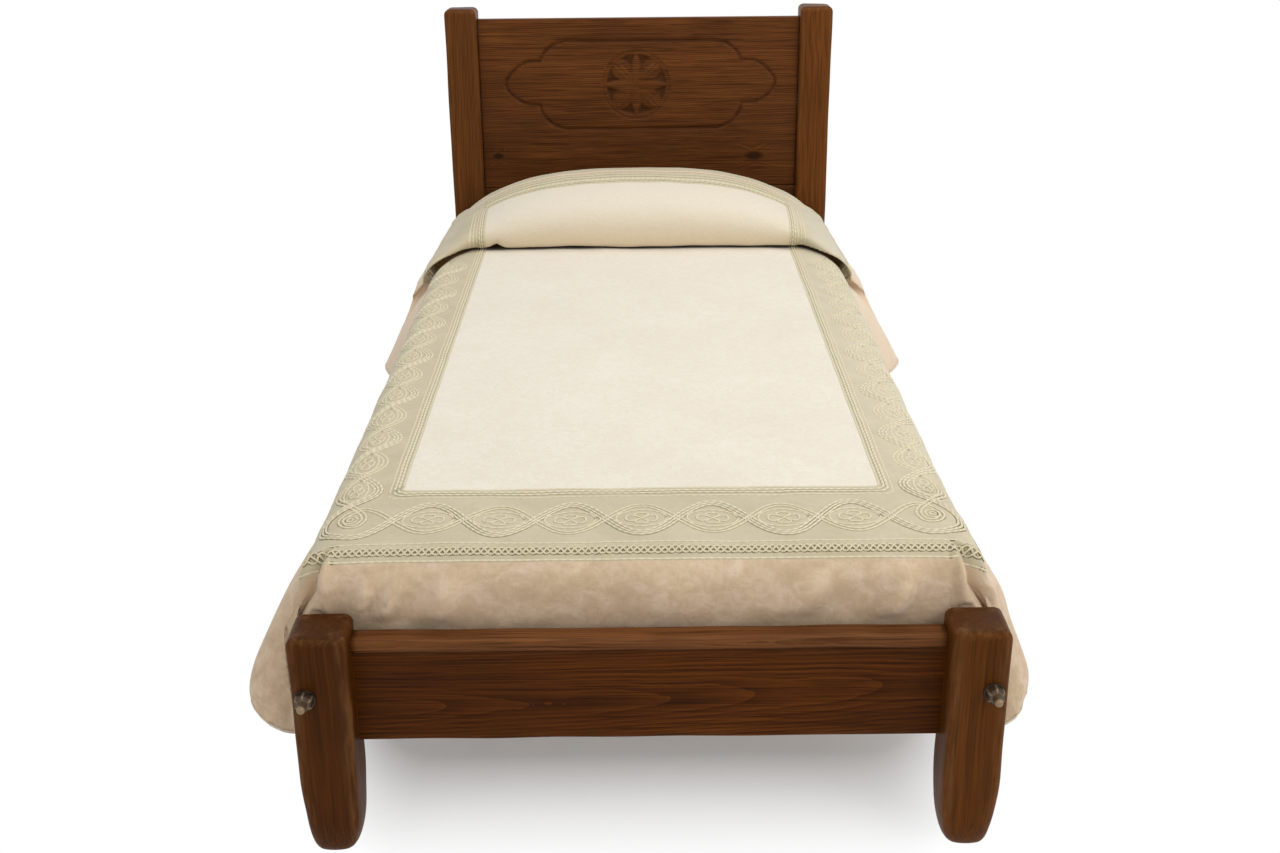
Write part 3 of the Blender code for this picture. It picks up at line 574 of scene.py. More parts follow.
def bend(points, steps):
    """A smooth open curve through points."""
    points = np.array(points, float)
    padded = np.vstack([2 * points[0] - points[1], points, 2 * points[-1] - points[-2]])
    out = []
    for i in range(len(points) - 1):
        a, b, c, d = padded[i:i + 4]
        for k in range(steps):
            w = k / steps
            out.append(0.5 * (2 * b + (c - a) * w + (2 * a - 5 * b + 4 * c - d) * w ** 2
                              + (3 * b - a - 3 * c + d) * w ** 3))
    out.append(points[-1])
    return np.array(out)


CARTOUCHE_X = 0.004
CARTOUCHE_LINE = (0.0044, 0.0062)  # depth and half width
CARVING_X = -0.0075
CARVING_Z = 0.745
ROSETTE_RADIUS = 0.085
ROSETTE_DEPTH = 0.0060
ROSETTE_RING = (0.0024, 0.006)  # depth and half width
PANEL_HALF = 0.410 - 0.0003
PANEL_EDGE = 0.003
PANEL_CELLS = (330, 176)


def cartouche_paths():
    """The right half of the lobed line, from the middle of its top to the middle of its foot."""
    top, shoulder, tip, hip, foot = (0.190, 0.112), (0.258, 0.062), (0.346, 0.006), (0.260, -0.048), (0.196, -0.112)
    return ([(0.0, 0.112), top], bend([top, (0.222, 0.103), (0.246, 0.083), shoulder], 6),
            bend([shoulder, (0.296, 0.058), (0.330, 0.034), tip, (0.332, -0.022), (0.298, -0.044), hip], 6),
            bend([hip, (0.252, -0.074), (0.230, -0.098), foot], 6), [foot, (0.0, -0.112)])


def carving_depth(x, z):
    """How deep the headboard is cut at a place: a lobed cartouche, and a rosette of four broad and four thin leaves."""
    across, up = np.abs(x - CARVING_X), z - CARVING_Z
    line = np.full(x.shape, 9.0)
    for path in cartouche_paths():
        line = np.minimum(line, distance_to_line(np.abs(x - CARTOUCHE_X), up, path))
    depth = CARTOUCHE_LINE[0] * np.clip(1 - line / CARTOUCHE_LINE[1], 0, 1) ** 0.8
    radius = np.hypot(across, up)
    inside = radius < ROSETTE_RADIUS
    ring = ROSETTE_RING[0] * np.clip(1 - np.abs(radius - ROSETTE_RADIUS) / ROSETTE_RING[1], 0, 1)
    sunk = np.where(inside, ROSETTE_DEPTH * smooth_step((ROSETTE_RADIUS - radius) / 0.016), 0)
    slant, aside = (across + np.abs(up)) / math.sqrt(2), np.abs(across - np.abs(up)) / math.sqrt(2)
    broad, thin = (0.010, 0.082, 0.0265, 1.45, 0.90), (0.0, 0.083, 0.0150, 0.70, 1.0)
    leaves = [(slant, aside, *broad), (across, np.abs(up), *thin), (np.abs(up), across, *thin)]
    for along, beside, first, last, width, blunt, tall in leaves:
        share = np.clip((along - first) / (last - first), 0, 1)
        half = width * np.sin(np.pi * share ** blunt) ** 0.7 + 1e-6
        swell = np.where((along > first) & (along < last), np.sqrt(np.clip(1 - (beside / half) ** 2, 0, 1)), 0)
        veins = 0.0016 * hump(beside, 0, 0.0022) + 0.0011 * hump(beside / half, 0.50, 0.13)
        cut = ROSETTE_DEPTH * (1 - tall * swell) + veins * (swell > 0.1)
        sunk = np.where((swell > 0) & inside, np.minimum(sunk, cut), sunk)
    depth = np.maximum(depth, np.maximum(ring, sunk))
    ground = (line > 0.0) & (np.hypot(across / 1.35, up) < 0.25)
    uneven = ripple(np.stack([x.ravel() * 0.6, z.ravel() * 2.2], 1), 5, 0.05).reshape(x.shape)
    return depth + 0.0003 * ground * uneven


def carved_panel(material):
    """The headboard panel with its carving cut into the front."""
    low, high = box("headboard_panel")
    columns, rows = (cells + 1 for cells in PANEL_CELLS)
    xs = np.linspace(-PANEL_HALF + PANEL_EDGE, PANEL_HALF - PANEL_EDGE, columns)
    zs = np.linspace(low[2] + PANEL_EDGE, high[2] - PANEL_EDGE, rows)
    x, z = np.meshgrid(xs, zs, indexing="ij")
    depth = carving_depth(x, z)
    wave = 0.0008 * ripple(np.stack([x.ravel(), z.ravel() * 1.6], 1), 11, 0.30).reshape(x.shape)
    points = np.stack([x, low[1] + 0.0008 + depth + wave, z], 2).reshape(-1, 3)
    faces = grid_faces(columns, rows)
    loop = [i * rows for i in range(columns - 1)] + [(columns - 1) * rows + j for j in range(rows - 1)]
    loop += [i * rows + rows - 1 for i in range(columns - 1, 0, -1)] + list(range(rows - 1, 0, -1))
    edge = points[loop]
    outward = np.zeros((len(loop), 3))
    for axis, start, end in ((0, -PANEL_HALF, PANEL_HALF), (2, low[2], high[2])):
        outward[:, axis] = 1.0 * (edge[:, axis] >= end - PANEL_EDGE - 1e-6)
        outward[:, axis] -= edge[:, axis] <= start + PANEL_EDGE + 1e-6
    layers = [edge + outward * PANEL_EDGE * out + np.array([0, PANEL_EDGE * deep, 0])
              for out, deep in ((0.7, 0.3), (1.0, 1.0))]
    for rear, y in ((edge + outward * PANEL_EDGE, high[1] - PANEL_EDGE), (edge.copy(), high[1])):
        rear[:, 1] = y
        layers.append(rear)
    last = loop
    for start in range(len(points), len(points) + len(layers) * len(loop), len(loop)):
        for i in range(len(loop)):
            j = (i + 1) % len(loop)
            faces.append((last[i], start + i, start + j, last[j]))
        last = list(range(start, start + len(loop)))
    faces.append(last)
    in_rosette = np.hypot(x - CARVING_X, z - CARVING_Z) < 0.95 * ROSETTE_RADIUS
    # darker in the carved cuts: dirt and stain pooled there, with painted shade
    shade_and_dirt = (np.clip(depth / 0.0055, 0, 1) * np.where(in_rosette, 0.8, 1.0)).ravel()
    rim = len(layers) * len(loop)
    values = {"wear": np.concatenate([np.zeros(len(points)), np.full(rim, 0.8)]),
              "shade_and_dirt": np.concatenate([shade_and_dirt, np.zeros(rim)])}
    piece = new_object("headboard_panel_carved", np.concatenate([points, *layers]), faces, material, values=values)
    dress(piece, "bed_frame", "headboard_panel")


def turned(middle, reach, turn, y):
    """Ring of points round an axis along Y."""
    return np.column_stack([middle[0] + reach * np.cos(turn), np.full(len(turn), y), middle[2] + reach * np.sin(turn)])


def stud(place, material):
    """Bolt end with its thread, as a turned form along Y."""
    low, high = box(f"bed_bolt_{place}")
    outer, tip = (-1, low[1]) if place.startswith("foot") else (1, high[1])
    radius = (high[0] - low[0]) / 2
    turn = np.linspace(0, 2 * np.pi, 32, endpoint=False)
    stages = [(0.12, 0.0), (0.45, 0.0004), (0.72, 0.0014), (0.90, 0.0030), (1.0, 0.0052)]
    stages += [(1.0 - 0.055 * (i % 2), 0.0052 + 0.0009 * i) for i in range(1, 31)]
    stages.append((0.99, high[1] - low[1]))
    points, faces = loft([turned((low + high) / 2, radius * share, turn, tip - outer * depth)
                          for share, depth in stages])
    # the bolt's end face is lightest: worn, and painted highlight
    wear = np.repeat([1.0 if depth < 0.006 else 0.3 for _, depth in stages], len(turn))
    piece = new_object(f"bolt_threaded_{place}", points, faces, material, values={"wear": wear})
    dress(piece, "bed_frame", f"bed_bolt_{place}")


def nut(place, material):
    """Forged hexagon nut with eased corners."""
    low, high = box(f"bed_bolt_nut_{place}")
    outer, start = (-1, low[1]) if place.startswith("foot") else (1, high[1])
    flats, depth = (high[0] - low[0]) / 2, high[1] - low[1]
    turn = np.linspace(0, 2 * np.pi, 72, endpoint=False)
    nearest = np.round(turn / (np.pi / 3)) * np.pi / 3
    hexagon = flats / np.cos(turn - nearest)
    corners = np.clip((hexagon / flats - 1.06) / 0.09, 0, 1)
    rings = [turned((low + high) / 2, bore, turn, start) for bore in (0.0063, 0.0085)]
    wear = [np.full(len(turn), 0.4)] * len(rings)
    for back, keep in ((0.0006, 0.80), (0.0016, 0.93), (0.0032, 1.0), (depth * 0.5, 1.0), (depth - 0.0008, 1.0),
                       (depth, 0.97)):
        reach = np.minimum(hexagon, flats * (1.02 + 0.14 * smooth_step(back / 0.004))) * keep
        rings.append(turned((low + high) / 2, reach, turn, start - outer * back))
        wear.append(corners)
    points, faces = loft(rings)
    piece = new_object(f"nut_forged_{place}", points, faces, material, values={"wear": np.concatenate(wear)})
    dress(piece, "bed_frame", f"bed_bolt_nut_{place}")


def hem_of_side(side, y):
    """How far out and how high the side hem hangs at a place along the bed."""
    corner = hump(y, EDGE_Y, CORNER_REACH)
    wing = hump(y, WING_Y, np.where(y < WING_Y, WING_AHEAD, by_side(side, WING_BACK)))
    fold = np.cos(2 * np.pi * (y - EDGE_Y) / SKIRT_WAVE)
    out = HANG + by_side(side, CORNER_FLARE) * corner + by_side(side, WING_FLARE) * wing
    out = out + SKIRT_WAVE_DEPTH * fold * (1 - corner) * (1 - wing)
    low = HEM_Z + WING_RISE * wing + CORNER_RISE / 2 * corner ** 4
    return SIDE_X + out, low


def pleat_table(side):
    """A foot corner's pleat by the angle from the side, 0, to the foot, 90: where its hem is and how it falls there."""
    flare_x, low = (float(v) for v in hem_of_side(np.array(side), np.array(EDGE_Y)))
    outside = RAIL_OUTER_X + RAIL_GAP + 0.004
    over = RAIL_TOP + RAIL_GAP
    tip = outside - 0.004 if side < 0 else outside + 0.008
    table = np.array([(0, flare_x, EDGE_Y, low, 0.58),
                      (5, flare_x - 0.003, EDGE_Y - 0.014, low + 0.002, 0.58),
                      (10, flare_x - 0.010, EDGE_Y - 0.027, low - 0.002, 0.58),
                      (14, tip + (flare_x - tip) * 0.72, EDGE_Y - 0.038, low - 0.010, 0.58),
                      (18, tip + (flare_x - tip) * 0.52, EDGE_Y - 0.047, low - 0.018, 0.56),
                      (23, tip + (flare_x - tip) * 0.26, FOOT_Y, low - 0.025, 0.52),
                      (28, tip, FOOT_Y, low - 0.029, 0.48),
                      (42, outside + RAIL_GAP / 2, FOOT_Y, over, 0.90),
                      (56, outside - RAIL_GAP / 3, FOOT_Y + RAIL_GAP, over, 0.90),
                      (76, RAIL_INNER_X - 0.003, FOOT_Y, over, 0.90),
                      (90, EDGE_X, FOOT_Y, TUCK_Z, 1.0)])
    table[:, 0] = np.radians(table[:, 0])
    return table


PLEATS = {side: pleat_table(side) for side in (-1, 1)}


def crease_line(s):
    """Where the cloth dips in front of the pillow: straight across, then forwards over the bed's edges."""
    return CREASE_Y - EAR_AHEAD * rising(np.abs(s), EAR_START, EAR_WIDTH)


def lying(s, t, crease):
    """Places of the cloth on the mattress and round the pillow, and how far it has turned back over itself.

    In front of the pillow the cloth is pushed under, comes back over itself and then rolls up over the pillow.
    """
    aside = np.abs(s)
    z = TOP_Z - EDGE_DROP * (aside / EDGE_X) ** 8
    rise = COVER_RISE * np.clip(1 - (aside / COVER_HALF_WIDTH) ** COVER_POWERS[0], 0, 1) ** COVER_POWERS[1]
    roll = crease + 2 * SLOT_DEPTH
    turn = np.pi * np.clip((t - roll) / (HEAD_T - roll), 0, 1)
    middle, half = (crease + HEAD_Y) / 2, (HEAD_Y - crease) / 2
    run = np.sign(np.cos(turn)) * np.abs(np.cos(turn)) ** COVER_ROUND
    hang_over = OVERHANG * np.where(turn < np.pi / 2, np.sin(2 * turn), 0) * np.clip(rise / 0.06, 0, 1)
    back = crease + SLOT_DEPTH - np.abs(t - crease - SLOT_DEPTH)
    y = np.where(t < crease, t, np.where(t < roll, back, middle - half * run - hang_over))
    over = smooth_step((t - crease - SLOT_DEPTH + 0.004) / 0.008)
    gap = SLOT_GAP * (1 + 0.4 * rising(aside, 0.34, 0.08))
    gap = gap + SLOT_GAP * 1.5 * np.exp(-((s + 0.334) / 0.012) ** 2 - (turn / 0.25) ** 2)
    return y, z + gap * over * np.cos(turn / 2) + rise * np.sin(turn), over


def column(s, t):
    """For flat places: the bed's edge they hang from, their distance past it, and where that line of cloth ends."""
    side = np.where(s < 0, -1.0, 1.0)
    beyond_side, beyond_foot = np.maximum(np.abs(s) - EDGE_X, 0), np.maximum(EDGE_Y - t, 0)
    reach = np.hypot(beyond_side, beyond_foot)
    crease = crease_line(s)
    start_x = np.clip(s, -EDGE_X, EDGE_X)
    start_y, start_z, over = lying(start_x, np.maximum(t, EDGE_Y), crease)
    unfolded = crease + (t - crease) * (HEAD_Y - crease) / (HEAD_T - crease)
    start_y = np.where(t > crease, start_y + (unfolded - start_y) * rising(reach, 0.07, 0.10), start_y)
    angle = np.where(reach < 1e-9, 0, np.arctan2(beyond_foot, np.maximum(beyond_side, 1e-12)))
    hem, power = np.zeros((len(s), 3)), np.zeros(len(s))
    for which, table in PLEATS.items():
        mine = side == which
        x, y, z, power[mine] = (np.interp(angle[mine], table[:, 0], values) for values in table.T[1:])
        hem[mine] = np.stack([which * x, y, z], 1)
    along_side = beyond_foot <= 1e-9
    along_foot = (beyond_side <= 1e-9) & ~along_side
    out, low = hem_of_side(side, start_y)
    hem[along_side] = np.stack([side * out, start_y, low], 1)[along_side]
    hem[along_foot] = np.stack([start_x, np.full(len(s), FOOT_Y), np.full(len(s), TUCK_Z)], 1)[along_foot]
    power[along_side] = (0.72 - 0.14 * hump(start_y, EDGE_Y, CORNER_REACH))[along_side]
    power[along_foot] = 1.0
    start = np.stack([start_x, start_y, start_z], 1)
    heading = np.stack([side * np.cos(angle), -np.sin(angle), np.zeros(len(s))], 1)
    heading[along_foot] = (0, -1, 0)
    edge = start + heading * EDGE_RADIUS - np.array([0, 0, EDGE_RADIUS])
    fall = np.linalg.norm(hem - edge, axis=1)
    return start, heading, edge, hem, power, reach, fall, angle, over


def cloth(s, t):
    """Places in space of flat places of the bedspread."""
    start, heading, edge, hem, power, reach, fall, angle, over = column(s, t)
    bent = np.minimum(reach / EDGE_RADIUS, np.pi / 2)
    place = start + heading * (EDGE_RADIUS * np.sin(bent))[:, None]
    place[:, 2] -= EDGE_RADIUS * (1 - np.cos(bent))
    # beside the pillow the cloth keeps falling over the edge as steeply as it comes down from the pillow
    beside_pillow = np.clip((start[:, 2] - TOP_Z - 1.4 * SLOT_GAP) / 0.024, 0, 1) * over
    place[:, 2] -= beside_pillow * COVER_SLOPE * reach * hump(reach, 0, COVER_SLOPE_REACH)
    share = np.clip((reach - EDGE_RADIUS * np.pi / 2) / fall, 0, 1)
    place[:, :2] += (hem - edge)[:, :2] * (share ** power)[:, None]
    place[:, 2] += (hem - edge)[:, 2] * share
    near_corner = hump(start[:, 1], EDGE_Y, CORNER_REACH) * np.clip(1.3 - angle / 0.4, 0, 1)
    curl = 0.009 * np.sin(np.pi * share ** 3) * near_corner * (reach > 0) * (np.abs(heading[:, 0]) > 0.5)
    place[:, 0] += CLOTH_X + heading[:, 0] * curl
    outward = heading * np.sin(bent)[:, None]
    outward[:, 2] = np.cos(bent)
    place = place + outward * relief(s, t, heading, reach, share, angle, over)[:, None]
    aside = np.abs(place[:, 0])
    behind_post = rising(aside, BEHIND_POST_X[0], 0.02) * fading(aside, BEHIND_POST_X[1], 0.01)
    behind_post = behind_post * fading(place[:, 2], BEHIND_POST_Z, 0.014)
    place[:, 1] = np.maximum(place[:, 1], POST_BACK_Y + 0.0026 - 0.06 * (1 - behind_post))
    return place


def relief(s, t, heading, reach, share, angle, over):
    """Soft unevenness, folds of the skirts, the bulge beside the pillow and the corner creases."""
    flat, degrees = np.stack([s, t], 1), np.degrees(angle)
    hanging, sideways = reach > 0, np.abs(heading[:, 0]) > 0.99
    footways = hanging & (np.abs(heading[:, 0]) < 0.01)
    turning = hanging & (angle > 0) & (angle < np.pi / 2)
    past_edge = rising(reach, 0, 0.06)
    lift = 0.0010 * ripple(flat, 21, 0.34) * hump(reach, 0, 0.05) + 0.0005 * ripple(flat, 22, 0.09)
    folds = 0.0050 * ripple(np.stack([t, reach * 0.18], 1), 23, 0.20) * rising(reach, 0, 0.30)
    lift = lift + np.where(sideways & hanging, folds * rising(t, EDGE_Y, 0.12), 0)
    gather = np.clip(ripple(np.stack([s + 0.35 * reach, reach * 0.45], 1), 24, 0.17), -0.3, 1.7) + 0.3
    gather = gather * rising(reach, 0.03, 0.06) * fading(reach, 0.106, 0.038) * fading(np.abs(s), 0.36, 0.05)
    lift = lift + np.where(footways, 0.0065 * gather, 0)
    slanted = s + 0.45 * (reach - 0.08)
    for middle, width, height in FOOT_FOLDS:
        fold = height * hump(slanted * np.sign(-middle), -abs(middle), width)
        lift = lift + np.where(footways, fold * rising(reach, 0.04, 0.05) * fading(reach, 0.096, 0.034), 0)
    bulge = by_side(s, WING_BULGE) * past_edge * fading(share, 0.05, 0.45)
    lift = lift + np.where(sideways, bulge * over * fading(t, 0.58, 0.34), 0)
    full = by_side(s, CORNER_BULGE) * past_edge * fading(share, 0.08, 0.35)
    before_corner = hump(np.maximum(t - EDGE_Y, 0), 0, 0.12) * (sideways & hanging)
    lift = lift + full * np.where(turning, fading(degrees, 18, 16), before_corner)
    near_top = fading(reach, 0.09, 0.07)
    creases = 0.7 * hump(degrees, 72, 9) + 0.8 * hump(degrees, 30, 8) * near_top - hump(degrees, 50, 9)
    depth = (0.009 + 0.003 * near_top) * past_edge + 0.012 * share
    return lift + np.where(turning, creases * depth, 0)


def cloth_normal(s, t):
    """Way out of the cloth at flat places."""
    step = 0.0012
    along_s = cloth(s + step, t) - cloth(s - step, t)
    along_t = cloth(s, t + step) - cloth(s, t - step)
    normal = np.cross(along_s, along_t)
    return normal / np.maximum(np.linalg.norm(normal, axis=1), 1e-12)[:, None]


def spread_mesh():
    """Points, faces and flat places of the whole bedspread, and the flat line of its hem."""
    s_top = np.linspace(-EDGE_X, EDGE_X, 101)
    flat_cells, ear_cells, slot_cells, pillow_cells, hang_rows, fan = 122, 46, 23, 58, 34, 32
    t_top = np.concatenate([np.linspace(EDGE_Y, CREASE_Y - EAR_AHEAD - 0.02, flat_cells),
                            np.linspace(CREASE_Y - EAR_AHEAD - 0.017, CREASE_Y - 0.003, ear_cells),
                            CREASE_Y + 2 * SLOT_DEPTH * np.linspace(0, 1, slot_cells),
                            np.linspace(CREASE_Y + 2 * SLOT_DEPTH, HEAD_T, pillow_cells + 1)[1:]])
    rows = len(t_top)
    s, t = (v.ravel() for v in np.meshgrid(s_top, t_top, indexing="ij"))
    faces = grid_faces(len(s_top), rows)
    last = (len(s_top) - 1) * rows
    lines = [(j, -1.0, 0.0) for j in range(rows - 1, -1, -1)]
    angles = np.linspace(0, np.pi / 2, fan + 1)[1:-1]
    lines += [(0, -math.cos(a), -math.sin(a)) for a in angles]
    lines += [(i * rows, 0.0, -1.0) for i in range(len(s_top))]
    lines += [(last, math.cos(a), -math.sin(a)) for a in angles[::-1]]
    lines += [(last + j, 1.0, 0.0) for j in range(rows)]
    origin = np.array([line[0] for line in lines])
    way = np.array([line[1:] for line in lines])
    probe = 1e-4
    fall = column(s[origin] + way[:, 0] * probe, t[origin] + way[:, 1] * probe)[6]
    length = EDGE_RADIUS * np.pi / 2 + fall
    share = np.arange(1, hang_rows + 1) / hang_rows
    hung_s = s[origin][:, None] + way[:, :1] * length[:, None] * share
    hung_t = t[origin][:, None] + way[:, 1:] * length[:, None] * share
    first = len(s)
    s, t = np.concatenate([s, hung_s.ravel()]), np.concatenate([t, hung_t.ravel()])

    def number(line, row):
        return origin[line] if row == 0 else first + line * hang_rows + row - 1

    for line in range(len(lines) - 1):
        for row in range(hang_rows):
            corners = [number(line, row), number(line, row + 1), number(line + 1, row + 1), number(line + 1, row)]
            kept = list(dict.fromkeys(int(c) for c in corners))
            if len(kept) > 2:
                faces.append(kept)
    hem = np.stack([hung_s[:, -1], hung_t[:, -1]], 1)
    return cloth(s, t), faces, np.stack([s, t], 1), hem


def spread_material():
    """Pale middle, greyer border and warmer hanging cloth, told apart by their place on the flat cloth, with painted
    shade in the fold in front of the pillow and on the pillow, and painted light on the right border and the side
    skirts.
    """
    tree = Tree("spread_weave")
    flat = tree.flat()
    u, v, _ = tree.split(flat)
    aside = tree.size(u)
    side = tree.math("DIVIDE", tree.minus(aside, CREAM_HALF), BORDER_SIDE)
    foot = tree.math("DIVIDE", tree.minus(CREAM_FOOT, v), BORDER_FOOT)
    head = tree.math("DIVIDE", tree.minus(v, CREAM_HEAD), BORDER_HEAD)
    in_border = tree.ramp(tree.most(tree.most(side, foot), head), -0.004, 0.010)
    past_border = tree.ramp(tree.most(side, foot), 0.990, 1.010)
    weave = tree.times(tree.plus(tree.grain(flat, (60, 700, 1), roughness=0.6),
                                 tree.grain(flat, (700, 60, 1), roughness=0.6)), 0.5)
    cloud = tree.grain(flat, (5, 5, 1))
    damask = tree.ramp(tree.grain(flat, (44, 44, 1), detail=2.0, roughness=0.5, distortion=1.8), 0.44, 0.58)
    mottle = tree.grain(flat, (17, 17, 1), (4, 9, 0), 4.0, 0.6, 0.8)
    pucker = tree.grain(flat, (26, 32, 1), (2, 5, 0), 4.0, 0.58, 0.5)
    at_foot = tree.ramp(v, -0.90, -1.0, 0.15, 0.50)
    on_pillow = tree.ramp(v, CREASE_Y + 0.028, CREASE_Y + 0.032)
    # painted shade on the lower part of the pillow's front, above the fold
    pillow_front_painted_shade = tree.times(tree.ramp(v, CREASE_Y + 0.20, CREASE_Y + 0.06, 0.0, 0.65), on_pillow)
    # painted light: the right border is lighter, except near the foot
    right_painted_light = tree.times(tree.ramp(u, 0.30, 0.46, 0.0, 0.48), tree.ramp(v, -0.85, -0.55))
    crease = tree.ramp(aside, EAR_START, EAR_START + EAR_WIDTH, CREASE_Y, CREASE_Y - EAR_AHEAD, "SMOOTHSTEP")
    # painted shade inside the fold of cloth pushed under the pillow's front
    slot_painted_shade = tree.size(tree.minus(tree.minus(v, crease), SLOT_DEPTH))
    slot_painted_shade = tree.times(tree.ramp(slot_painted_shade, SLOT_DEPTH + 0.002, SLOT_DEPTH - 0.010), tree.ramp(aside, 0.50, 0.47))

    cream = tree.over(tree.mix(tree.ramp(cloud, 0.25, 0.75), srgb(238, 230, 214), srgb(232, 223, 206)),
                      (tree.times(damask, 0.20), srgb(222, 210, 190)),
                      # painted shade: the pale cloth over the pillow is a little darker
                      (tree.ramp(v, CREASE_Y + 0.028, CREASE_Y + 0.032, 0.0, 0.8), srgb(227, 217, 197)),
                      (pillow_front_painted_shade, srgb(226, 206, 168)))
    border = tree.over(tree.mix(tree.ramp(cloud, 0.3, 0.7), srgb(204, 193, 164), srgb(195, 183, 152)),
                       (tree.ramp(mottle, 0.50, 0.66, 0.0, 0.30), srgb(182, 170, 134)),
                       (tree.ramp(mottle, 0.46, 0.30, 0.0, 0.35), srgb(216, 202, 174)),
                       (right_painted_light, srgb(226, 218, 196)))
    taupe = tree.over(tree.mix(tree.ramp(cloud, 0.3, 0.7), srgb(220, 194, 164), srgb(208, 181, 150)),
                      (tree.times(damask, 0.30), srgb(190, 162, 132)),
                      (tree.ramp(mottle, 0.50, 0.68, 0.0, 0.40), srgb(198, 176, 138)),
                      (tree.ramp(mottle, 0.46, 0.30, 0.0, 0.35), srgb(228, 204, 178)),
                      # painted light: the hanging cloth gets lighter from the foot towards the head
                      (tree.ramp(v, -0.70, 0.40, 0.0, 0.80), srgb(238, 217, 190)),
                      (tree.times(tree.ramp(pucker, 0.48, 0.72), at_foot), srgb(184, 158, 126)),
                      (tree.times(tree.ramp(pucker, 0.50, 0.28), at_foot), srgb(234, 214, 190)))
    colour = tree.over(cream, (in_border, border), (past_border, taupe),
                       (tree.ramp(weave, 0.40, 0.60, 0.0, 0.10), srgb(150, 128, 98)), (slot_painted_shade, srgb(80, 53, 8)))
    height = tree.plus(weave, tree.times(damask, 0.35))
    height = tree.plus(height, tree.times(tree.times(tree.times(pucker, past_border), at_foot), 4.0))
    return tree.surface(colour, 0.92, height, 0.0008, 0.7,
                        {"Sheen Weight": 0.25, "Sheen Roughness": 0.5, "Specular IOR Level": 0.2})


def cord_material(name, light, dark, strand_shade=0.12):
    """Twisted embroidery cord with painted light on its top and painted shade where it meets the cloth and between its
    strands.
    """
    tree = Tree(name)
    twist = tree.add("TexWave", {"Vector": tree.stretch(tree.flat(), (52.0, 0.35, 1)), "Scale": 1.0,
                                 "Distortion": 0.6}, wave_type="BANDS", bands_direction="DIAGONAL")["Fac"]
    # painted light on the cord's top and painted shade along its edges, by the stored rise value
    colour = tree.mix(tree.ramp(tree.value("rise"), 0.05, 0.75), dark, light)
    colour = tree.mix(tree.times(twist, strand_shade), colour, dark)
    return tree.surface(colour, 0.8, twist, 0.0006, 0.8, {"Sheen Weight": 0.2, "Specular IOR Level": 0.25})


# Section of a cord: places aside and up as shares of its size, and how much painted light it has there; 0 is painted
# shade
SECTION = ((-1.0, 0.0, 0.0), (-0.62, 0.20, 0.0), (-0.46, 0.78, 0.8), (0.0, 1.0, 1.0), (0.46, 0.78, 0.8),
           (0.62, 0.20, 0.0), (1.0, 0.0, 0.0))


class Cords:
    """Raised cords laid on the cloth along flat paths, gathered in one mesh."""

    def __init__(self):
        self.points, self.faces, self.flat, self.rise, self.count = [], [], [], [], 0

    def lay(self, path, size, closed=False, over=0.0):
        """Lays one cord of a half width, height and step; over lifts it, at each of a number of even places."""
        width, height, step = size
        path = respace(np.asarray(path, float), step, closed)
        place, normal = cloth(*path.T), cloth_normal(*path.T)
        ahead = np.roll(place, -1, 0) - np.roll(place, 1, 0) if closed else np.gradient(place, axis=0)
        ahead /= np.maximum(np.linalg.norm(ahead, axis=1), 1e-12)[:, None]
        beside = np.cross(normal, ahead)
        over = np.atleast_1d(over)
        lift = np.interp(np.linspace(0, 1, len(path)), np.linspace(0, 1, len(over)), over)
        run = run_along(place)
        at_side = rising(np.abs(path[:, 0]), 0.365, 0.03) * smooth_step((path[:, 1] + 0.82) / 0.08)
        tall = height * (1 - 0.25 * at_side)
        for k, (aside, up, rise) in enumerate(SECTION):
            self.points.append(place + beside * (aside * width) + normal * (up * tall - 0.0004 + lift)[:, None])
            self.flat.append(np.stack([run, np.full(len(run), k / (len(SECTION) - 1))], 1))
            # painted light and shade of the section, kept paler on the side borders
            self.rise.append(np.maximum(0.42 * at_side, rise))
        start, ring, rows = self.count, len(SECTION), len(path)
        self.count += ring * rows
        for k in range(ring):
            low, high = start + k * rows, start + (k + 1) % ring * rows
            for i in range(rows if closed else rows - 1):
                j = (i + 1) % rows
                self.faces.append((low + i, high + i, high + j, low + j))
        if not closed:
            self.faces.append([start + k * rows for k in range(ring)])
            self.faces.append([start + k * rows + rows - 1 for k in range(ring)][::-1])

    def made(self, name, material):
        """The piece with all cords laid so far."""
        piece = new_object(name, np.concatenate(self.points), self.faces, material, np.concatenate(self.flat),
                           {"rise": np.concatenate(self.rise)})
        return dress(piece, "bedspread")


def run_along(path):
    """Distance of each point from the path's start."""
    return np.concatenate([[0], np.cumsum(np.linalg.norm(np.diff(path, axis=0), axis=1))])


def spaced(path, count, closed):
    """The same path with a number of even steps."""
    path = np.vstack([path, path[:1]]) if closed else path
    run = run_along(path)
    places = np.linspace(0, run[-1], count + (not closed), endpoint=not closed)
    return np.stack([np.interp(places, run, part) for part in path.T], 1)


def respace(path, step, closed):
    """The same path with points at even steps of a length."""
    length = run_along(np.vstack([path, path[:1]]) if closed else path)[-1]
    return spaced(path, max(3, int(length / step)), closed)


def band_loop(q):
    """Flat closed loop at a distance outside the pale middle, with rounded corners."""
    across, foot = CREAM_HALF + q * SIDE_SCALE, CREAM_FOOT - q
    head = CREAM_HEAD + q * HEAD_SCALE
    radius = 0.012 + 0.10 * q
    corners = [(-across, foot), (across, foot), (across, head), (-across, head)]
    loop = []
    for k, (x, y) in enumerate(corners):
        centre_x = x - math.copysign(radius, x)
        centre_y = y + (radius if y == foot else -radius)
        for step in range(9):
            angle = math.pi + math.pi / 2 * k + math.pi / 2 * step / 8
            loop.append((centre_x + radius * math.cos(angle), centre_y + radius * math.sin(angle)))
    return loop


def foot_run(p, q):
    """Flat places at p across the bed and q out into the foot border."""
    return np.stack([p, CREAM_FOOT - q], 1)


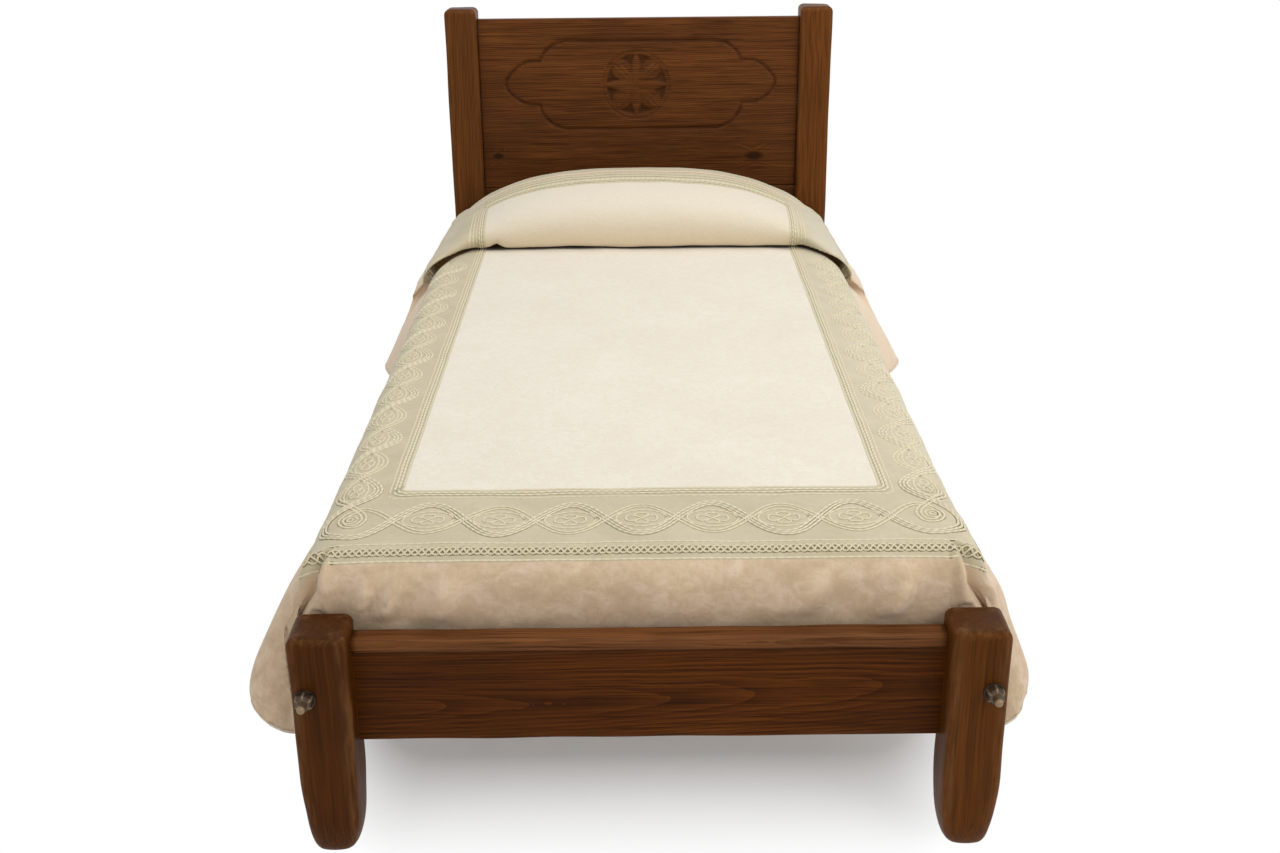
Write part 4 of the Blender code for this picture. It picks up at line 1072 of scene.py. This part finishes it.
def side_run(side):
    """The same for a side border, with p along the bed."""
    return lambda p, q: np.stack([side * (CREAM_HALF + q * SIDE_SCALE), p], 1)


def beside_path(path, offset):
    """The path moved sideways by a distance."""
    ahead = np.gradient(path, axis=0)
    ahead /= np.linalg.norm(ahead, axis=1)[:, None]
    return path + np.stack([-ahead[:, 1], ahead[:, 0]], 1) * np.reshape(offset, (-1, 1))


def wave_path(depth, corner):
    """Flat path of a wave down the left border, along the foot and up the right border."""
    up = np.arange(WAVE_SIDE_START, WAVE_SIDE_END, 0.004)
    right = side_run(1)(up, WAVE_MIDDLE + depth * np.cos(2 * np.pi * (up - WAVE_SIDE_START) / WAVE_LENGTH))
    across = np.linspace(-WAVE_FOOT_END, WAVE_FOOT_END, 207)
    foot = foot_run(across, WAVE_MIDDLE + depth * np.cos(2 * np.pi * across / WAVE_LENGTH))
    turn = bend([foot[-1], *corner, right[0]], 8)[1:-1]
    flip = np.array([-1, 1])
    return np.concatenate([right[::-1] * flip, turn[::-1] * flip, foot, turn, right])


def wave_border(ropes, lines):
    """A rope wave over its thinner mirror image, with a small knot in each eye."""
    rope = wave_path(WAVE_DEPTH, [(0.4325, -0.9397), (0.450, -0.9276), (0.4616, -0.9094)])
    for offset in (-0.0056, 0.0, 0.0056):
        ropes.lay(beside_path(rope, offset), WAVE_ROPE)
    mirror = wave_path(-0.86 * WAVE_DEPTH, [(0.428, -0.866), (0.437, -0.885), (0.428, -0.905), (0.411, -0.906)])
    for offset in (-0.0034, 0.0034):
        lines.lay(beside_path(mirror, offset), WAVE_LINE)
    step = WAVE_LENGTH / 2
    for place in range(-3, 4):
        eye_knot(lines, foot_run, place * step)
    for side in SIDES.values():
        for place in range(1, 14):
            eye_knot(lines, side_run(side), WAVE_SIDE_START + place * step)


def eye_knot(lines, run, middle):
    """Two crossing figures of eight inside an oval."""
    turn = np.linspace(0, 2 * np.pi, 56, endpoint=False)
    lines.lay(run(middle + 0.023 * np.sin(turn), WAVE_MIDDLE + 0.010 * np.sin(2 * turn)), EIGHT_LINE, True)
    lines.lay(run(middle + 0.010 * np.sin(2 * turn), WAVE_MIDDLE + 0.017 * np.sin(turn)), EIGHT_LINE, True)
    lines.lay(run(middle + 0.037 * np.cos(turn), WAVE_MIDDLE + 0.027 * np.sin(turn)), OVAL_LINE, True)


def plait(cords, q, span):
    """Three strands plaited along the border's outer edge."""
    step = PLAIT_STRAND[2]
    loop = respace(np.array(band_loop(q)), step, True)
    repeats = round((len(loop) - 1) * step / span)
    phase = 2 * np.pi * repeats * np.arange(len(loop)) / len(loop)
    for strand in range(3):
        angle = phase + 2 * np.pi * strand / 3
        cords.lay(beside_path(loop, 0.0064 * np.sin(angle)), PLAIT_STRAND, True, 0.0005 + 0.0005 * np.cos(2 * angle))


def corner_knot(lines, side):
    """Rings in the border's corner, where the waves of two sides meet."""
    turn = np.linspace(0, 2 * np.pi, 60, endpoint=False)
    for reach in (0.0055, 0.0125):
        ring = np.stack([side * 0.4235 + 0.85 * reach * np.cos(turn), -0.8855 + reach * np.sin(turn)], 1)
        lines.lay(ring, RING_LINE, True)


def straight(half, t):
    """Flat line across the bed."""
    return np.stack([np.linspace(-half, half, 120), np.full(120, t)], 1)


def make_bedspread():
    """The draped cloth as one sheet, with its embroidered border and hems."""
    points, faces, flat, hem = spread_mesh()
    spread = new_object("bedspread_draped", points, faces, spread_material(), flat, closed=False)
    thick = spread.modifiers.new("cloth", "SOLIDIFY")
    thick.thickness, thick.offset = CLOTH_THICKNESS, -1
    dress(spread, "bedspread", "bedspread")
    ropes, lines, plaits, edges = Cords(), Cords(), Cords(), Cords()
    wave_border(ropes, lines)
    for side in SIDES.values():
        corner_knot(lines, side)
    for q, size in ((0.004, BAND_LINE), (0.030, BAND_LINE), (0.183, OUTER_LINE), (0.2145, OUTER_LINE)):
        lines.lay(band_loop(q), size, True)
    for q in (0.0125, 0.0200):
        ropes.lay(band_loop(q), BAND_ROPE, True)
    plait(plaits, 0.199, 0.029)
    edges.lay(hem, HEM_CORD)
    for past_crease in (0.289, 0.301, 0.313):
        lines.lay(straight(0.37, CREASE_Y + past_crease), PILLOW_LINE)
    up = np.arange(CREASE_Y + 0.064, CREAM_HEAD + 0.02, 0.006)
    for side in SIDES.values():
        for q in (0.042, 0.054):
            lines.lay(side_run(side)(up, np.full(len(up), q)), PILLOW_SIDE_LINE)
    for t in (CREASE_Y + 0.327, HEAD_T - 0.004):
        edges.lay(straight(EDGE_X, t), HEAD_HEM_CORD)
    trims = [ropes.made("border_ropes", cord_material("rope_cord", srgb(228, 218, 187), srgb(122, 110, 76), 0.28)),
             lines.made("border_lines", cord_material("line_cord", srgb(222, 211, 178), srgb(126, 114, 80))),
             plaits.made("border_plait", cord_material("plait_cord", srgb(216, 204, 170), srgb(134, 121, 88))),
             edges.made("spread_hem", cord_material("hem_cord", srgb(226, 208, 184), srgb(190, 164, 134)))]


def fabric(name, base, stripe=None, pitch=0.035):
    """Plain woven cotton, striped where a stripe colour is given."""
    tree = Tree(name)
    place = tree.place()
    weave = tree.times(tree.plus(tree.grain(place, (900, 120, 900), detail=2.0),
                                 tree.grain(place, (120, 900, 900), detail=2.0)), 0.5)
    colour = tree.mix(tree.ramp(tree.noise(place, 6.0), 0.3, 0.7), base, shade(base, 0.90))
    if stripe:
        parts = tree.split(place)
        facing = tree.split(tree.add("TexCoord")["Normal"])
        on_side = tree.ramp(tree.size(facing[0]), 0.68, 0.72)
        across = tree.add("Mix", {0: on_side, 2: parts[0], 3: parts[1]})[0]
        wave = tree.math("FRACT", tree.math("DIVIDE", across, pitch))
        near = tree.size(tree.minus(wave, 0.5))
        broad = tree.ramp(near, 0.12, 0.10)
        thin = tree.ramp(tree.size(tree.minus(near, 0.22)), 0.030, 0.020)
        colour = tree.mix(tree.times(tree.most(broad, thin), 0.75), colour, stripe)
    colour = tree.mix(tree.ramp(weave, 0.40, 0.62, 0.0, 0.12), colour, srgb(120, 108, 92))
    return tree.surface(colour, 0.9, weave, 0.0006, 0.6, {"Sheen Weight": 0.2})


def tube(path, radius, around=10):
    """Closed tube round a closed path in space."""
    ahead = np.roll(path, -1, 0) - np.roll(path, 1, 0)
    ahead /= np.linalg.norm(ahead, axis=1)[:, None]
    beside = np.cross(ahead, (0, 0, 1.0))
    beside /= np.maximum(np.linalg.norm(beside, axis=1), 1e-9)[:, None]
    upward = np.cross(beside, ahead)
    turn = np.linspace(0, 2 * np.pi, around, endpoint=False)[:, None]
    points = path[:, None] + radius * (np.cos(turn) * beside[:, None] + np.sin(turn) * upward[:, None])
    faces = []
    for i in range(len(path)):
        low, high = i * around, (i + 1) % len(path) * around
        for k in range(around):
            following = (k + 1) % around
            faces.append((low + k, low + following, high + following, high + k))
    return points.reshape(-1, 3), faces


MATTRESS_HALF = 0.4495
MATTRESS_BULGE = 0.0205
MATTRESS_EDGE = 0.050
MATTRESS_CELLS = (44, 104)
PIPING_INSET = 0.0168
TUFT_DIP = (0.006, 0.035)  # depth and reach
TUFT_SECTION = ((0.002, 0), (0.009, 0.0005), (0.010, 0.002), (0.008, 0.0035), (0.002, 0.0040))


def mattress_ring(low, high, inset, out, z, radius):
    """Outline of the mattress at a height, out by more above the rails and moved to fit under the bedspread."""
    width, length = 2 * (MATTRESS_HALF + out - inset), high[1] - low[1] - 2 * inset
    outline, _ = rounded_outline(width, length, min(radius, 0.45 * width), 8, MATTRESS_CELLS)
    ring = np.column_stack([outline + ((low + high) / 2)[:2], np.full(len(outline), low[2] + z)])
    ring[:, 0] += np.where(ring[:, 0] > 0, CLOTH_X * out / MATTRESS_BULGE, 0)
    return ring


def make_mattress():
    """Sprung mattress in striped ticking, piped round both edges and tufted on top."""
    low, high = box("mattress")
    thickness = high[2] - low[2]
    bulge, edge = MATTRESS_BULGE, MATTRESS_EDGE
    stages = [(0.200, 0, 0.0)]
    stages += [(edge * (1 - math.sin(a)), 0, edge * (1 - math.cos(a))) for a in np.linspace(0, math.pi / 2, 7)]
    stages += [(0.003, 0, 0.062), (0.0005, 0, 0.084), (0.0, bulge * 0.5, 0.103), (0.0, bulge * 0.95, 0.120),
               (0.0, bulge, 0.138)]
    top = thickness - 0.001
    stages += [(edge * (1 - math.cos(a)), bulge, top - edge * (1 - math.sin(a)))
               for a in np.linspace(0, math.pi / 2, 8)]
    stages += [(inset, bulge, thickness - 0.0006 - 0.0024 * math.exp(-((inset - 0.04) / 0.06)))
               for inset in np.linspace(0.060, 0.462, 26)]
    points, faces = loft([mattress_ring(low, high, *stage, max(0.062 - stage[0] * 0.3, 0.002)) for stage in stages])
    middle_y = (low[1] + high[1]) / 2
    tufts = [(x, middle_y + y) for x in (-0.30, 0.0, 0.30) for y in np.linspace(-0.84, 0.84, 8)]
    dip = np.zeros(len(points))
    for tuft in tufts:
        dip += TUFT_DIP[0] * np.exp(-((points[:, :2] - tuft) ** 2).sum(1) / TUFT_DIP[1] ** 2)
    points[:, 2] -= dip * (points[:, 2] > low[2] + thickness * 0.8)
    ticking = fabric("striped_ticking", srgb(226, 218, 202), srgb(120, 128, 140))
    body = dress(new_object("mattress_ticking", points, faces, ticking), "mattress", "mattress")
    pipes = [mattress_ring(low, high, PIPING_INSET, out, z, 0.055)
             for out, z in ((0, PIPING_INSET), (bulge, top - PIPING_INSET))]
    piping = new_object("mattress_piping", *joined(tube(path, 0.0030) for path in pipes),
                        fabric("piping_cotton", srgb(196, 190, 178)))
    dress(piping, "mattress")
    turn = np.linspace(0, 2 * np.pi, 20, endpoint=False)
    buttons = [loft([np.column_stack([x + r * np.cos(turn), y + r * np.sin(turn), np.full(20, high[2] - 0.0085 + z)])
                     for r, z in TUFT_SECTION]) for x, y in tufts]
    tufting = new_object("mattress_tufts", *joined(buttons), fabric("tuft_cotton", srgb(206, 198, 184)))
    dress(tufting, "mattress")


def make_pillow():
    """A full cotton pillow with a piped seam and soft creases near its corners."""
    low, high = box("pillow")
    middle, size = (low + high) / 2, high - low
    seam = 0.36 * size[2]
    latitudes, square, widest = 48, 0.57, 0.952
    turn = np.linspace(0, 2 * np.pi, 120, endpoint=False)
    rings = []
    for step in range(1, latitudes):
        angle = math.pi * (step / latitudes - 0.5)
        part = seam if angle < 0 else size[2] - seam
        drawn = math.cos(angle) ** 0.6 * (1 - 0.05 * (1 + np.cos(4 * turn)) / 2)
        x, y = (np.sign(way) * np.abs(way) ** square * drawn * size[k] / 2 / widest
                for k, way in enumerate((np.cos(turn), np.sin(turn))))
        crease = 0.0016 * np.cos(14 * turn) * math.exp(-(angle / 0.5) ** 2)
        z = low[2] + seam + part * math.sin(angle) * 0.995 + crease * math.copysign(1, angle)
        rings.append(np.stack([middle[0] + x, middle[1] + y, z], 1))
    body = new_object("pillow_cotton", *loft(rings), fabric("pillow_cotton", srgb(236, 230, 218)))
    dress(body, "pillow", "pillow")
    edge = rings[latitudes // 2 - 1] * np.array([1, 1, 0]) + np.array([0, 0, low[2] + seam])
    piping = new_object("pillow_piping", *tube(spaced(edge, 220, True), 0.0028),
                        fabric("pillow_piping", srgb(222, 214, 198)))
    dress(piping, "pillow")


def make_frame_pieces():
    """Posts, boards, panel and bolts in their woods and iron, and the looks of the CAD nodes that stay."""
    # rubbed: the lighter colour of the foot posts' worn arrises, which also serves as painted highlight along their
    # edges
    dark, light, worn, rubbed = srgb(58, 26, 2), srgb(105, 55, 12), srgb(116, 74, 38), srgb(142, 100, 62)
    foot_look = {"ring": 0.012, "figure": 0.16, "contrast": 0.6, "sway": 0.05}
    head_look = {"figure": 0.16, "contrast": 0.8}
    posts = (("foot", "left", srgb(50, 24, 3), srgb(100, 54, 14), rubbed, 3.1, (0.30, 0.93), foot_look),
             ("head", "left", srgb(66, 35, 12), srgb(124, 74, 32), worn, 4.3, (0.32, -1.22), head_look),
             ("foot", "right", srgb(57, 28, 4), srgb(110, 62, 18), rubbed, 7.7, (-0.33, 0.90), foot_look),
             ("head", "right", srgb(76, 40, 12), srgb(138, 82, 34), worn, 8.8, (-0.34, -1.24), head_look))
    for end, word, *colours, seed, pith, look in posts:
        post(f"{end}_post_{word}", SIDES[word], wood(f"{end}_post_pine_{word}", "Z", *colours, seed, pith=pith, **look))
    rail = wood("foot_rail_pine", "X", dark, light, worn, 1.3, ring=0.0042, pith=(1.000, -0.232),
                figure=0.34, sway=0.022, swirl=1.2, contrast=1.15, fine=1.6, flame=1.6)
    board("foot_rail_planed", "foot_rail", 24, 0.012, rail, painted_shade_band=0.010)
    cap_board(wood("cap_pine", "X", srgb(78, 42, 18), srgb(140, 88, 48), srgb(176, 128, 84), 4.9, pith=(1.0, -0.30),
                   gloss=0.30))
    carved_panel(wood("panel_pine", "X", srgb(64, 34, 13), srgb(122, 72, 33), worn, 9.2, ring=0.0050,
                      pith=(-0.86, -0.22), knots=(((0.300, 1.04, 0.560), 0.020), ((-0.37, 1.04, 0.565), 0.012))))
    lower = wood("lower_rail_pine", "X", srgb(56, 30, 11), srgb(108, 64, 28), worn, 2.4, pith=(-0.99, -0.40))
    board("headboard_lower_planed", "headboard_lower_rail", 20, 0.014, lower)
    metal, pale, pale_worn = iron(), srgb(176, 132, 84), srgb(226, 192, 146)
    kept = {"side_rail": wood("side_rail_pine", "Y", dark, light, worn, 5.6, pith=(-0.40, -0.24)),
            "slat_ledger": wood("ledger_pine", "Y", pale, srgb(220, 182, 132), pale_worn, 8.4, ring=0.006,
                                pith=(0.4, -0.17), gloss=0.62),
            "slat_": wood("slat_pine", "X", pale, srgb(222, 184, 134), pale_worn, 6.2, ring=0.006,
                          pith=(0.5, -0.17), gloss=0.62),
            "ledger_screw": metal, "bed_bolt": metal}
    for name, node in NODES.items():
        start = next((start for start in kept if name.startswith(start)), None)
        if start:
            node.data.materials[0] = kept[start]
    for end in ("foot", "head"):
        for word in SIDES:
            stud(f"{end}_{word}", metal)
            nut(f"{end}_{word}", metal)


def make_camera():
    """The photograph's view, fitted to posts, rails and floor contacts."""
    pitch, yaw, roll = (math.radians(a) for a in (CAMERA_PITCH, CAMERA_YAW, CAMERA_ROLL))
    ahead = Vector((math.sin(yaw) * math.cos(pitch), math.cos(yaw) * math.cos(pitch), -math.sin(pitch)))
    right = Vector((math.cos(yaw), -math.sin(yaw), 0))
    up = right.cross(ahead)
    right, up = right * math.cos(roll) + up * math.sin(roll), up * math.cos(roll) - right * math.sin(roll)
    data = bpy.data.cameras.new("camera")
    data.sensor_width = 36
    data.lens = FOCAL_PX * data.sensor_width / IMAGE_SIZE[0]
    camera = bpy.data.objects.new("camera", data)
    bpy.context.scene.collection.objects.link(camera)
    camera.matrix_world = Matrix.Translation(CAMERA_PLACE) @ Matrix((right, up, -ahead)).transposed().to_4x4()
    bpy.context.scene.camera = camera


def area_light(name, place, target, size, power):
    """A square white lamp that faces a place."""
    data = bpy.data.lights.new(name, "AREA")
    data.shape = "RECTANGLE"
    data.size = data.size_y = size
    data.energy = power
    lamp = bpy.data.objects.new(name, data)
    bpy.context.scene.collection.objects.link(lamp)
    lamp.location = place
    lamp.rotation_euler = (Vector(target) - Vector(place)).to_track_quat("-Z", "Y").to_euler()


def make_studio():
    """Soft light, a white world and a pale floor that fades to white away from the bed."""
    scene = bpy.context.scene
    scene.view_settings.view_transform = "Standard"
    area_light("overhead", (0.80, 0.10, 3.4), (0, 0.0, 0.3), 3.2, 52)
    area_light("front_right", (2.8, -2.8, 2.6), (0, -0.6, 0.3), 2.2, 42)
    area_light("front_left", (-2.6, -3.0, 2.2), (0, -0.4, 0.3), 2.0, 8)
    scene.world = bpy.data.worlds.new("studio")
    tree = Tree("studio", scene.world, "Background")
    tree.put(tree.shader.inputs["Color"], (1, 1, 1, 1))
    tree.put(tree.shader.inputs["Strength"], tree.ramp(tree.seen(), 0.0, 1.0, 0.58, 1.0))
    make_floor()


def make_floor():
    """A matt floor that takes the bed's shadow near it and glows white to the camera farther away."""
    tree = Tree("floor_white")
    tree.surface(srgb(247, 247, 247), 0.9, settings={"Specular IOR Level": 0.0})
    parts = tree.split(tree.place())
    aside = tree.times(tree.most(tree.minus(tree.size(parts[0]), 0.34), 0.0), 2.2)
    ahead = tree.plus(tree.times(parts[1], 0.62), 0.1)
    far = tree.ramp(tree.length(tree.add("CombineXYZ", {0: aside, 1: ahead})[0]), 0.428, 0.602, 0.20, 1.0)
    glow = tree.add("Emission", {"Color": (1, 1, 1, 1), "Strength": 1.0})
    blend = tree.add("MixShader", {0: tree.times(far, tree.seen()), 1: tree.shader.outputs[0], 2: glow[0]})
    output = next(n for n in tree.nodes if n.type == "OUTPUT_MATERIAL")
    tree.put(output.inputs["Surface"], blend[0])
    size = 14.0
    points = [(-size, -size, 0), (size, -size, 0), (size, size, 0), (-size, size, 0)]
    new_object("floor", points, [(0, 1, 2, 3)], tree.owner, closed=False)


make_camera()
make_studio()
make_frame_pieces()
make_mattress()
make_pillow()
make_bedspread()

bpy.context.view_layer.update()
